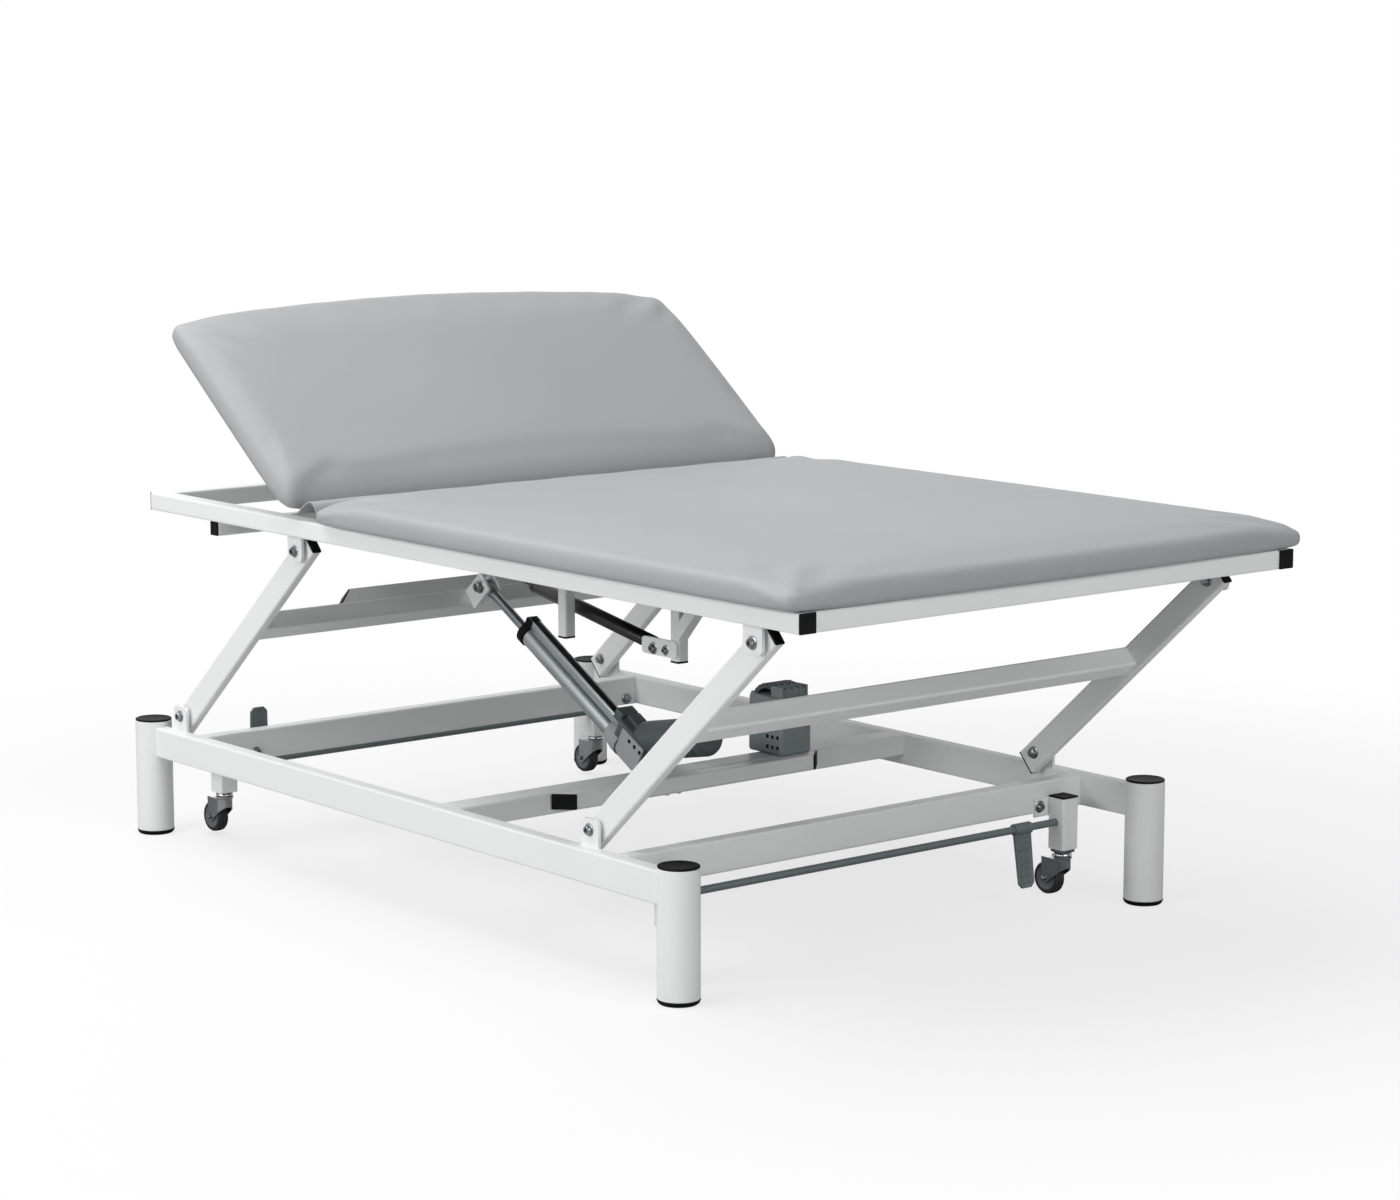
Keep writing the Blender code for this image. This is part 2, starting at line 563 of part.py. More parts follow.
outer = rod("actuator_tube", TUBE_RADIUS, TUBE_END - TUBE_START, alloy, actuator,
            (-(TUBE_START + TUBE_END) / 2, 0.0, 0.0), "X", 32)
track = block("tube_track", (TUBE_END - TUBE_START - 0.004, 0.022, 0.020), None, actuator,
              (-(TUBE_START + TUBE_END) / 2, 0.0, TUBE_RADIUS + 0.004), 0.002)
tube_bore = rod("tube_bore", TUBE_RADIUS - TUBE_WALL, 0.80, None, actuator,
                (-(TUBE_START + TUBE_END) / 2, 0.0, 0.0), "X", 32)
boolean(outer, "UNION", track)
boolean(outer, "DIFFERENCE", tube_bore)

inner_rod = rod("actuator_rod", ROD_RADIUS, ROD_LENGTH, steel, actuator,
                (-reach + ROD_LENGTH / 2 + EYE_RADIUS / 2, 0.0, 0.0), "X")
rod_eye = rod("rod_eye", EYE_RADIUS, EYE_WIDTH, None, actuator, (-reach, 0.0, 0.0))
guide = rod("rod_guide", TUBE_RADIUS - TUBE_WALL - GAP, 0.012, None, actuator,
            (-reach + ROD_LENGTH, 0.0, 0.0), "X", 32)
eye_bore = rod("rod_eye_bore", PIN_RADIUS, 0.10, None, actuator, (-reach, 0.0, 0.0))
boolean(inner_rod, "UNION", rod_eye, guide)
boolean(inner_rod, "DIFFERENCE", eye_bore)

# Top frame: everything above the upper arm pivots
top = empty("top_pivot", table, (TOP_X, 0.0, TOP_Z))
top_length = TOP_FOOT_X - TOP_HEAD_X
top_mid_z = TOP_RAIL_RISE + TOP_RAIL_HEIGHT / 2
foot_tip_x = FOOT_PIVOT_X - HEAD_PIVOT_X
for side, word in ((-1, "near"), (1, "far")):
    rail = tube(f"top_rail_{word}", top_length, TOP_RAIL_WIDTH, TOP_RAIL_HEIGHT, white, top,
                ((TOP_HEAD_X + TOP_FOOT_X) / 2, side * (INNER_Y + TOP_RAIL_WIDTH / 2), top_mid_z))
    lug_y = side * (INNER_Y + 0.001 + LUG_THICK / 2)
    lug_low = -LUG_REACH
    lug_high = TOP_RAIL_RISE + BITE
    for at, end in ((0.0, "head"), (foot_tip_x, "foot")):
        plate = lug(f"top_lug_{end}_{word}", (LUG_WIDTH, LUG_THICK, lug_high - lug_low), top,
                    (at, lug_y, (lug_low + lug_high) / 2), -1)
        pin = rod(f"top_pin_{end}_{word}", PIN_RADIUS, pin_out - pin_in, None, top,
                  (at, side * (pin_out + pin_in) / 2, 0.0))
        boolean(rail, "UNION", plate, pin)

for at, end_word in ((TOP_HEAD_X + TOP_RAIL_WIDTH / 2, "head"), (TOP_FOOT_X - TOP_RAIL_WIDTH / 2, "foot")):
    tube(f"top_crossbar_{end_word}", cross_length, TOP_RAIL_WIDTH, TOP_RAIL_HEIGHT, white, top,
         (at, 0.0, top_mid_z), "Y")
tube("stop_tube", 2 * (INNER_Y + STOP_REACH), STOP_WIDTH, STOP_HEIGHT, white, top,
     (STOP_X, 0.0, TOP_RAIL_RISE - GAP - STOP_HEIGHT / 2), "Y")
hinge_bar = rod("hinge_bar", HINGE_BAR_RADIUS, cross_length, steel, top, (HINGE_X, 0.0, HINGE_Z))

# Cross tubes with the rest post and the spring post
small_z = TOP_RAIL_RISE + SMALL_TUBE / 2
for name, at in (("rest_crossbar", REST_POST_X), ("spring_crossbar", SPRING_POST_X)):
    tube(name, cross_length, SMALL_TUBE, SMALL_TUBE, white, top, (at, 0.0, small_z), "Y", SMALL_WALL)
post_top = TOP_RAIL_RISE - GAP
tube("rest_post", post_top - REST_POST_BOTTOM, SMALL_TUBE, SMALL_TUBE, white, top,
     (REST_POST_X, REST_POST_Y, (post_top + REST_POST_BOTTOM) / 2), "Z", SMALL_WALL)
post_y = SPRING_Y - SPRING_POST_SHIFT
spring_post = tube("spring_post", post_top - SPRING_POST_BOTTOM, SMALL_TUBE, SMALL_TUBE, white, top,
                   (SPRING_POST_X, post_y, (post_top + SPRING_POST_BOTTOM) / 2), "Z", SMALL_WALL)
plate_y = post_y - SMALL_TUBE / 2 + 0.001 - SPRING_PLATE / 2
plate_x0 = GAS_X - 0.034
plate_x1 = SPRING_POST_X + SMALL_TUBE / 2 - 0.001
plate = lug("spring_plate", (plate_x1 - plate_x0, SPRING_PLATE, SPRING_PLATE_HEIGHT), top,
            ((plate_x0 + plate_x1) / 2, plate_y, GAS_Z + 0.004), 0, rounding=0.008)
pin_y0 = plate_y - 0.001
pin_y1 = SPRING_Y + GAS_EYE_WIDTH / 2 + 0.004
spring_pin = rod("spring_pin", GAS_PIN_RADIUS, pin_y1 - pin_y0, None, top,
                 (GAS_X, (pin_y0 + pin_y1) / 2, GAS_Z))
brace_low = Vector((SPRING_POST_X, 0.0, SPRING_POST_BOTTOM + 0.045))
rise = TOP_RAIL_TOP - brace_low.z
brace_length = rise / math.sin(math.radians(BRACE_ANGLE)) + 0.040
brace_dir = Vector((math.cos(math.radians(BRACE_ANGLE)), 0.0, math.sin(math.radians(BRACE_ANGLE))))
brace_mid = brace_low + brace_dir * brace_length / 2
brace = block("spring_brace", (brace_length, SMALL_TUBE - 0.002, SMALL_TUBE - 0.002), None, top,
              (brace_mid.x, post_y, brace_mid.z), pitch=-BRACE_ANGLE)
brace_trim = block("brace_trim", (1.0, 0.2, 0.2), None, top,
                   (SPRING_POST_X, post_y, TOP_RAIL_TOP - GAP + 0.1))
bar_room = block("bar_room", (SMALL_TUBE + 2 * GAP, 0.2, 0.1), None, top,
                 (SPRING_POST_X, post_y, TOP_RAIL_RISE - GAP + 0.05))
boolean(spring_post, "UNION", plate, spring_pin, brace)
boolean(spring_post, "DIFFERENCE", brace_trim, bar_room)

# Backrest frame: arms on the hinge bar, a crossbar with the gas spring's lever
backrest = empty("backrest_pivot", top, (HINGE_X, 0.0, HINGE_Z), BACKREST_ANGLE)
back_z = PAD_OFFSET - GAP - SMALL_TUBE / 2
for side, word in ((-1, "near"), (1, "far")):
    back_y = side * BACK_ARM_Y
    back_arm = tube(f"backrest_arm_{word}", BACK_ARM_LENGTH - 0.014, SMALL_TUBE, SMALL_TUBE, white,
                    backrest, (-(BACK_ARM_LENGTH + 0.014) / 2, back_y, back_z), wall=SMALL_WALL)
    sleeve = rod(f"sleeve_{word}", SLEEVE_RADIUS, SLEEVE_LENGTH, None, backrest, (0.0, back_y, 0.0),
                 sides=24)
    web = block(f"sleeve_web_{word}", (0.024, SMALL_TUBE - 0.006, 0.016), None, backrest,
                (-0.020, back_y, 0.003))
    sleeve_bore = rod(f"sleeve_bore_{word}", HINGE_BAR_RADIUS + RUN, 0.20, None, backrest,
                      (0.0, back_y, 0.0))
    boolean(back_arm, "UNION", web, sleeve)
    boolean(back_arm, "DIFFERENCE", sleeve_bore)

bar_half = BACK_ARM_Y - SMALL_TUBE / 2 - GAP
back_bar = tube("backrest_crossbar", 2 * bar_half, SMALL_TUBE, SMALL_TUBE, white, backrest,
                (BACK_BAR_X, 0.0, back_z), "Y", SMALL_WALL)
lever_slope = math.degrees(math.atan2(-BACK_BAR_X, LEVER_LENGTH))
lever_reach = math.hypot(BACK_BAR_X, LEVER_LENGTH) + 0.012
lever_gap = GAS_EYE_WIDTH / 2 + 0.0005 + LEVER_THICK / 2
for side in (-1, 1):
    lever = lug(f"lever_{side}", (LEVER_WIDTH, LEVER_THICK, lever_reach), backrest,
                (BACK_BAR_X / 2 + 0.001, SPRING_Y + side * lever_gap, -LEVER_LENGTH / 2 - 0.004), -1,
                -lever_slope)
    boolean(back_bar, "UNION", lever)

# Gas spring: it lies along -X of an empty on its lower eye, pitched up to the lever
phi = math.radians(BACKREST_ANGLE)
lever_x = HINGE_X - LEVER_LENGTH * math.sin(phi)
lever_z = HINGE_Z - LEVER_LENGTH * math.cos(phi)
gas_reach = math.hypot(lever_x - GAS_X, lever_z - GAS_Z)
gas_pitch = math.degrees(math.atan2(lever_z - GAS_Z, GAS_X - lever_x))
gas = empty("gas_pivot", top, (GAS_X, SPRING_Y, GAS_Z), gas_pitch)
cylinder = rod("gas_cylinder", GAS_RADIUS, GAS_LENGTH - 0.018, gas_black, gas,
               (-(GAS_LENGTH + 0.018) / 2, 0.0, 0.0), "X", 24)
gas_eye = rod("gas_eye", GAS_EYE_RADIUS, GAS_EYE_WIDTH, None, gas, (0.0, 0.0, 0.0))
gas_neck = block("gas_neck", (0.030, GAS_EYE_WIDTH - 0.004, 0.012), None, gas, (-0.013, 0.0, 0.0))
gas_bore = rod("gas_bore", GAS_ROD_RADIUS + RUN, GAS_LENGTH, None, gas,
               (-GAS_LENGTH / 2 - 0.050, 0.0, 0.0), "X")
gas_pin_bore = rod("gas_pin_bore", GAS_PIN_RADIUS + RUN, 0.10, None, gas, (0.0, 0.0, 0.0))
boolean(cylinder, "UNION", gas_neck, gas_eye)
boolean(cylinder, "DIFFERENCE", gas_bore, gas_pin_bore)

gas_rod = rod("gas_rod", GAS_ROD_RADIUS, GAS_ROD_LENGTH, steel, gas,
              (-gas_reach + GAS_ROD_LENGTH / 2 + 0.75 * GAS_EYE_RADIUS, 0.0, 0.0), "X")
gas_rod_eye = rod("gas_rod_eye", GAS_EYE_RADIUS, GAS_EYE_WIDTH, None, gas, (-gas_reach, 0.0, 0.0))
gas_rod_bore = rod("gas_rod_bore", GAS_PIN_RADIUS, 0.10, None, gas, (-gas_reach, 0.0, 0.0))
boolean(gas_rod, "UNION", gas_rod_eye)
boolean(gas_rod, "DIFFERENCE", gas_rod_bore)


def cushion(name, x0, x1, width, bow, bow_end, insets, parent, bottom):
    """Upholstered pad: a coarse cage under a Subdivision Surface, fitted to its real size."""
    length = x1 - x0
    bm = box_mesh((length, width, SEAT_THICK))
    for axis, half in ((0, length / 2), (1, width / 2)):
        normal = Vector((axis == 0, axis == 1, 0))
        for cut in (PAD_EDGE - half, 0.0, half - PAD_EDGE):
            bmesh.ops.bisect_plane(bm, geom=bm.verts[:] + bm.edges[:] + bm.faces[:], plane_co=normal * cut,
                                   plane_no=normal)
    bmesh.ops.bisect_plane(bm, geom=bm.verts[:] + bm.edges[:] + bm.faces[:], plane_co=(0, 0, -PAD_WAIST),
                           plane_no=(0, 0, 1))
    for vert in bm.verts:
        u = 2 * vert.co.x / length
        v = 2 * vert.co.y / width
        shift = Vector((0.0, 0.0, 0.0))
        if abs(u * v) > 0.99:
            vert.co.x -= PAD_ROUND * u
            vert.co.y -= PAD_ROUND * v
        if u * bow_end > 0:
            shift.x = bow_end * bow * (1 - v * v) * abs(u)
        shift.y = -insets[1 if u * bow_end > 0 else 0] * u * u * v
        if vert.co.z > 0.001:
            shift.z = PAD_CROWN * (1 - u ** 4) * (1 - v ** 4)
        vert.co += shift
    obj = make(name, bm, vinyl, parent, ((x0 + x1) / 2, 0.0, bottom + SEAT_THICK / 2))
    smooth = obj.modifiers.new("soft", "SUBSURF")
    smooth.levels = 2
    smooth.render_levels = 2
    bpy.context.view_layer.update()
    shown = obj.evaluated_get(bpy.context.evaluated_depsgraph_get()).to_mesh()
    target = Vector((length, width, SEAT_THICK))
    low = Vector([min(v.co[k] for v in shown.vertices) for k in range(3)])
    high = Vector([max(v.co[k] for v in shown.vertices) for k in range(3)])
    for vert in obj.data.vertices:
        for k in range(3):
            vert.co[k] = ((vert.co[k] - low[k]) / (high[k] - low[k]) - 0.5) * target[k]
    return obj


cushion("seat_pad", SEAT_HEAD_X, SEAT_FOOT_X, SEAT_WIDTH, SEAT_BOW, 1, SEAT_INSET, top,
        TOP_RAIL_TOP + GAP)
cushion("backrest_pad", -BACK_PAD_END, -BACK_PAD_START, BACK_PAD_WIDTH, BACK_PAD_BOW, -1, BACK_INSET,
        backrest, PAD_OFFSET)

# Vinyl flap that closes the gap at the hinge: a folded sheet across the table
bm = bmesh.new()
rows = []
for column in range(3):
    across = FLAP_HALF * (column - 1)
    rows.append([bm.verts.new((x, across, z)) for x, z in FLAP_WAVE])
for left, right in zip(rows, rows[1:]):
    for k in range(len(FLAP_WAVE) - 1):
        bm.faces.new((left[k], left[k + 1], right[k + 1], right[k]))
flap = make("hinge_flap", bm, vinyl, top, (0.0, 0.0, 0.0))
folds = flap.modifiers.new("folds", "SUBSURF")
folds.levels = 2
folds.render_levels = 2
sheet = flap.modifiers.new("sheet", "SOLIDIFY")
sheet.thickness = FLAP_THICK
sheet.offset = 0.0
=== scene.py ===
# %% [markdown]
# # Dressing a bobath table
# A bobath table is a wide therapy couch: two grey vinyl cushions on a white steel frame that an
# electric actuator lifts on four parallel arms. The measured solids come in first as a fixed frame.
# Every visible piece is then built around them, so each one sits where the real part would sit.

# %% Load the frame
import json
import math

import bmesh
import bpy
from mathutils import Matrix, Vector, geometry, kdtree


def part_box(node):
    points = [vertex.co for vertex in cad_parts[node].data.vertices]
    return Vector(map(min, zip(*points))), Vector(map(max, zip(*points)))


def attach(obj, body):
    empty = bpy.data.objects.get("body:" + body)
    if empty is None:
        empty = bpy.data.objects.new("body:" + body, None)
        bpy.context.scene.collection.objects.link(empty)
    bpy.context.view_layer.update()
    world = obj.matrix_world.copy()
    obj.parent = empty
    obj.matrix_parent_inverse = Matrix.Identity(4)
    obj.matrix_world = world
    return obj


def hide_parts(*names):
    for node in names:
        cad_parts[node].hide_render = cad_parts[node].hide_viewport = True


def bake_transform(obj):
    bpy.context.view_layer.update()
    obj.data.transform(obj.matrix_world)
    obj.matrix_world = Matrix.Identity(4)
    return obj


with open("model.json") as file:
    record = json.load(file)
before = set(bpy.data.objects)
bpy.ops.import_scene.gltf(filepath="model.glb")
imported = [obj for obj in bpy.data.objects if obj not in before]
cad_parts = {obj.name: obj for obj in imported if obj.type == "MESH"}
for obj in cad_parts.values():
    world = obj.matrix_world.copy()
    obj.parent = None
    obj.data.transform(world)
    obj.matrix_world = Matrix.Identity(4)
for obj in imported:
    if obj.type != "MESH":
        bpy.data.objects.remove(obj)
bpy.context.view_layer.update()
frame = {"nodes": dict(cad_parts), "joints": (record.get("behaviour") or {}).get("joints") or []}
scene = bpy.context.scene
joint = {j["name"]: j for j in frame["joints"]}
pivot = {name: Vector(j["pos_m"]) for name, j in joint.items()}

# %% [markdown]
# ## Camera
# The photograph looks along the table from its foot end, a little above the cushions, through a
# long lens. The place was solved from the straight rails and the four legs, so the frame's edges
# fall on the same pixels. Depth of field stays off because every part is seen sharp.

# %% Camera
SENSOR = 36.0
PIXELS_WIDE = 1400
FOCAL_PIXELS = 3557.4
CAMERA_AT = (5.14765, -4.1597, 1.5747)
LOOK_DOWN = 8.881
LOOK_ROUND = 50.73


def show(name, data):
    """Put a mesh, a lamp or a camera into the scene."""
    obj = bpy.data.objects.new(name, data)
    scene.collection.objects.link(obj)
    return obj


view = bpy.data.cameras.new("photo_camera")
view.sensor_width = SENSOR
view.lens = SENSOR * FOCAL_PIXELS / PIXELS_WIDE
view.clip_end = 60.0
scene.camera = show("photo_camera", view)
scene.camera.location = CAMERA_AT
scene.camera.rotation_euler = (math.radians(90.0 - LOOK_DOWN), 0.0, math.radians(LOOK_ROUND))
scene.view_settings.view_transform = "Standard"
print("lens:", round(view.lens, 2), "mm")

# %% [markdown]
# ## Colours and nodes
# Colours are picked from the photograph as sRGB hex values, but shaders work in linear light, so one
# function converts them, and another adds a node with its settings, values and links. A `Finish` is
# one material with the three things that a pattern can drive: its colour, its gloss and its relief.
# Patterns use Object coordinates in metres, so a texture's scale is one divided by the spacing.

# %% Colour and node helpers
def linear(code):
    """An sRGB hex value such as 'b4b6b8' as a linear colour."""
    values = [int(code[k:k + 2], 16) / 255 for k in (0, 2, 4)]
    return [v / 12.92 if v <= 0.04045 else ((v + 0.055) / 1.055) ** 2.4 for v in values] + [1.0]


def add(tree, kind, links=None, values=None, **settings):
    """Add a node: settings are its properties, values its unlinked inputs, links its linked ones."""
    node = tree.nodes.new(kind)
    for key, value in settings.items():
        setattr(node, key, value)
    for key, value in (values or {}).items():
        node.inputs[key].default_value = value
    for key, socket in (links or {}).items():
        tree.links.new(socket, node.inputs[key])
    return node


def per_mm(spacing):
    """Texture scale for a pattern that repeats every so many millimetres."""
    return 1000.0 / spacing


def two_tone(tree, factor, low, high):
    """A mix of two colours by a factor between 0 and 1."""
    colours = {"A": linear(low), "B": linear(high)}
    return add(tree, "ShaderNodeMix", {"Factor": factor}, colours, data_type="RGBA").outputs["Result"]


class Finish:
    def __init__(self, name, roughness, metallic=0.0, **sockets):
        self.material = bpy.data.materials.new(name)
        self.material.use_nodes = True
        self.tree = self.material.node_tree
        self.shader = self.tree.nodes["Principled BSDF"]
        for key, value in {"Roughness": roughness, "Metallic": metallic, **sockets}.items():
            self.shader.inputs[key.replace("_", " ")].default_value = value
        self.where = add(self.tree, "ShaderNodeTexCoord").outputs["Object"]

    def noise(self, spacing, detail, where=None):
        values = {"Scale": per_mm(spacing), "Detail": detail}
        place = self.where if where is None else where
        return add(self.tree, "ShaderNodeTexNoise", {"Vector": place}, values).outputs["Fac"]

    def drive(self, socket, out):
        self.tree.links.new(out, self.shader.inputs[socket])

    def tint(self, pattern, low, high):
        self.drive("Base Color", two_tone(self.tree, pattern, low, high))

    def gloss(self, pattern, low, high):
        band = add(self.tree, "ShaderNodeMapRange", {"Value": pattern}, {"To Min": low, "To Max": high})
        self.drive("Roughness", band.outputs["Result"])

    def relief(self, pattern, strength, distance):
        values = {"Strength": strength, "Distance": distance}
        self.drive("Normal", add(self.tree, "ShaderNodeBump", {"Height": pattern}, values).outputs["Normal"])


# %% [markdown]
# ## White powder coat
# The steel is blasted, sprayed with polyester powder and baked. The melted film draws into soft
# ripples called orange peel and keeps a satin gloss. Real ripples are about 1.5 mm apart, too fine
# for this view, so they are drawn at 4 mm. A slow drift in tone stands for film thickness.

# %% Powder coat
coat = Finish("polyester_powder_coat", 0.38, IOR=1.5)
drift = coat.noise(220, 3.0)
coat.tint(drift, "f0f1f1", "f6f7f7")
coat.gloss(drift, 0.33, 0.44)
coat.relief(coat.noise(4, 1.0), 0.12, 0.0004)
powder_coat = coat.material
print(powder_coat.name, len(coat.tree.nodes), "nodes")

# %% [markdown]
# ## Grey vinyl
# The cover is PVC-coated cloth, embossed with a leather grain by a heated roller. It reads as a soft
# grey with a low sheen. The grain is a net of pebbles about 1.6 mm across, drawn at 3 mm here, and a
# slow noise lightens and darkens the stretched foam beneath.

# %% Vinyl
cover = Finish("embossed_pvc_vinyl", 0.5, IOR=1.48)
cover.tint(cover.noise(300, 2.0), "9ea0a2", "a6a8aa")
pebble = add(cover.tree, "ShaderNodeTexVoronoi", {"Vector": cover.where}, {"Scale": per_mm(3.0)},
             feature="SMOOTH_F1")
crease = cover.noise(9, 4.0)
grain = add(cover.tree, "ShaderNodeMath", {0: pebble.outputs["Distance"], 1: crease}, operation="ADD")
cover.relief(grain.outputs["Value"], 0.1, 0.0006)
cover.gloss(crease, 0.44, 0.56)
vinyl = cover.material
print(vinyl.name, len(cover.tree.nodes), "nodes")

# %% [markdown]
# ## Moulded plastics and rubber
# Tube plugs and glides are black polyethylene, the actuator and control box are grey ABS and the
# tyres are rubber. Moulds for these are spark-eroded, which leaves a fine even grit. One recipe
# serves them all: a base colour with faint mottling, and a grit bump. The grit is 0.3 mm in reality
# and drawn at 1.5 mm.

# %% Moulded finishes
def moulded(name, low, high, roughness, grit=1.5, depth=0.0002, **sockets):
    plastic = Finish(name, roughness, **sockets)
    mottle = plastic.noise(30, 4.0)
    plastic.tint(mottle, low, high)
    plastic.gloss(mottle, roughness - 0.06, roughness + 0.08)
    plastic.relief(plastic.noise(grit, 2.0), 0.25, depth)
    return plastic.material


plug_black = moulded("black_polyethylene", "080909", "0e0f0f", 0.6, Specular_IOR_Level=0.12)
case_grey = moulded("grey_abs_case", "848c8e", "8d9597", 0.48)
cover_grey = moulded("dark_grey_abs", "4a5254", "535b5d", 0.5)
gear_grey = moulded("grey_glass_filled_polyamide", "a4a9aa", "aeb3b4", 0.5)
pedal_grey = moulded("grey_glass_filled_nylon", "667072", "707a7c", 0.46)
hub_grey = moulded("grey_polypropylene", "5b6061", "666b6c", 0.5)
tyre_rubber = moulded("black_rubber", "141515", "1e1f1f", 0.68, 2.0, 0.0004)
enamel = moulded("black_enamel", "050606", "090a0a", 0.34, 6.0, 0.0001)
print("moulded:", plug_black.name, "to", enamel.name)

# %% [markdown]
# ## Metals
# The actuator tube is extruded aluminium, anodised silver: drawing it through the die leaves fine
# lines along its length. Bolts are zinc plated, casters are chromed. The extrusion lines are real at
# 0.2 mm and drawn at 1.2 mm, stretched along the tube with a Mapping node that is turned to the
# tube's own slope.

# %% Metals
def metal(name, colour, roughness, speck, spread):
    steel = Finish(name, roughness, 1.0, Base_Color=linear(colour))
    steel.gloss(steel.noise(speck, 5.0), roughness - spread, roughness + spread)
    return steel.material


chrome = metal("chromed_steel", "a4a8aa", 0.14, 12, 0.05)
zinc = metal("zinc_plated_steel", "8d9295", 0.24, 5, 0.08)
rod_steel = metal("ground_stainless_steel", "8f9698", 0.3, 8, 0.06)

stroke = Vector(joint["actuator_stroke"]["axis"]).normalized()
slope = math.atan2(stroke.z, -stroke.x)
drawn = Finish("anodised_aluminium", 0.34, 1.0, Base_Color=linear("b0b6b8"))
turned_to = add(drawn.tree, "ShaderNodeMapping", {"Vector": drawn.where},
                {"Rotation": (0.0, -slope, 0.0), "Scale": (0.02, 1.0, 1.0)})
lines = drawn.noise(1.2, 3.0, turned_to.outputs["Vector"])
drawn.gloss(lines, 0.26, 0.46)
drawn.relief(lines, 0.15, 0.0002)
alloy = drawn.material

# %% [markdown]
# ## Dressing the carried-over steelwork
# Rails, arms and posts are already right: rectangular tube with rounded corners. They keep their
# shape and only change their paint. Anything round, moulded or soft is replaced further down.

# %% Paint the frame
WHITE = ("base_", "motor_beam", "leg_", "caster_post", "lift_arm", "arm_beam", "top_", "stop_tube",
         "rest_", "spring_", "backrest_")
PLATED = ("caster_stem", "hinge_bar")
for starts, material in ((WHITE, powder_coat), (PLATED, zinc)):
    chosen = [n for n in frame["nodes"] if n.startswith(starts)]
    for name in chosen:
        paint = frame["nodes"][name].data.materials
        paint.clear()
        paint.append(material)
    print(material.name, "on", len(chosen), "nodes")

# %% [markdown]
# ## Shapes that repeat
# Most small parts are a turned profile, a block with bevelled edges or a flat plate. Each helper
# returns a mesh under construction, `put` moves it, `pull` draws a strip of edges out into a sheet,
# `gather` makes one mesh of several shells, and `piece` turns it into an object on a body.

# %% Places
def put(bm, matrix):
    bmesh.ops.transform(bm, matrix=matrix, verts=bm.verts)
    return bm


def move(x, y, z):
    return Matrix.Translation((x, y, z))


def rotate(degrees, axis):
    return Matrix.Rotation(math.radians(degrees), 4, axis)


def aim(origin, along, side):
    """A place whose X runs along a direction and whose Y is the given side."""
    x = Vector(along).normalized()
    y = Vector(side).normalized()
    place = Matrix((x, y, x.cross(y))).transposed().to_4x4()
    place.translation = origin
    return place


def outward(bm):
    bmesh.ops.recalc_face_normals(bm, faces=bm.faces)
    return bm


def soften(bm, edges, radius, segments=2):
    bmesh.ops.bevel(bm, geom=edges, offset=radius, segments=segments, profile=0.5, affect="EDGES",
                    material=-1)
    return bm


# %% Lathe work
def chain(bm, points, closed=False):
    """Edges from each point to the next."""
    line = [bm.verts.new(point) for point in points]
    return [bm.edges.new(pair) for pair in zip(line, line[1:] + (line[:1] if closed else []))]


def lathe(profile, steps, closed=False):
    """Spin (along, radius) pairs about the X axis."""
    bm = bmesh.new()
    chain(bm, [(along, 0, radius) for along, radius in profile], closed)
    bmesh.ops.spin(bm, geom=bm.verts[:] + bm.edges[:], cent=(0, 0, 0), axis=(1, 0, 0),
                   angle=2 * math.pi, steps=steps, use_merge=True)
    return bm


def turned(profile, steps, start=0):
    """Lathe work from a profile that starts and ends on the axis."""
    bm = lathe([(start + along, radius) for along, radius in profile], steps)
    bmesh.ops.remove_doubles(bm, verts=bm.verts, dist=1e-6)
    bmesh.ops.dissolve_degenerate(bm, edges=bm.edges, dist=1e-7)
    return outward(bm)


def broken(start, stop, inner, outer, edge):
    """A bar's or ring's profile with broken edges."""
    return [(start, inner), (start, outer - edge), (start + edge, outer), (stop - edge, outer),
            (stop, outer - edge), (stop, inner)]


def rod(start, stop, radius, edge=0.001, steps=32):
    return turned(broken(start, stop, 0, radius, edge), steps)


# %% Blocks and plates
def block(size, radius, at=(0, 0, 0)):
    bm = bmesh.new()
    bmesh.ops.create_cube(bm, size=1.0)
    bmesh.ops.scale(bm, vec=size, verts=bm.verts)
    return put(soften(bm, bm.edges[:], radius, 3), move(*at))


def only_verts(parts):
    return [part for part in parts if isinstance(part, bmesh.types.BMVert)]


def plate(outline, thickness, radius):
    """A flat outline in X and Z, given thickness along Y about its own middle."""
    bm = bmesh.new()
    face = bm.faces.new([bm.verts.new((x, -thickness / 2, z)) for x, z in outline])
    grown = bmesh.ops.extrude_face_region(bm, geom=[face])["geom"]
    bmesh.ops.translate(bm, vec=(0, thickness, 0), verts=only_verts(grown))
    outward(bm)
    rims = [e for e in bm.edges if abs(e.verts[0].co.y - e.verts[1].co.y) < 1e-9]
    return soften(bm, rims, radius)


# %% Pieces
def mesh_of(name, bm):
    mesh = bpy.data.meshes.new(name)
    bm.to_mesh(mesh)
    bm.free()
    return mesh


def gather(*shapes):
    whole = bmesh.new()
    for shape in shapes:
        loose = mesh_of("loose", shape)
        whole.from_mesh(loose)
        bpy.data.meshes.remove(loose)
    return whole


def piece(name, bm, material, body, *nodes, angle=40):
    """Finish a mesh: smooth it up to an angle, paint it, and let it ride on a body."""
    mesh = mesh_of(name, bm)
    mesh.shade_smooth()
    mesh.set_sharp_from_angle(angle=math.radians(angle))
    mesh.materials.append(material)
    obj = show(name, mesh)
    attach(obj, body)
    if nodes:
        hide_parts(*nodes)


def middle(node):
    low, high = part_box(node)
    return (low + high) / 2


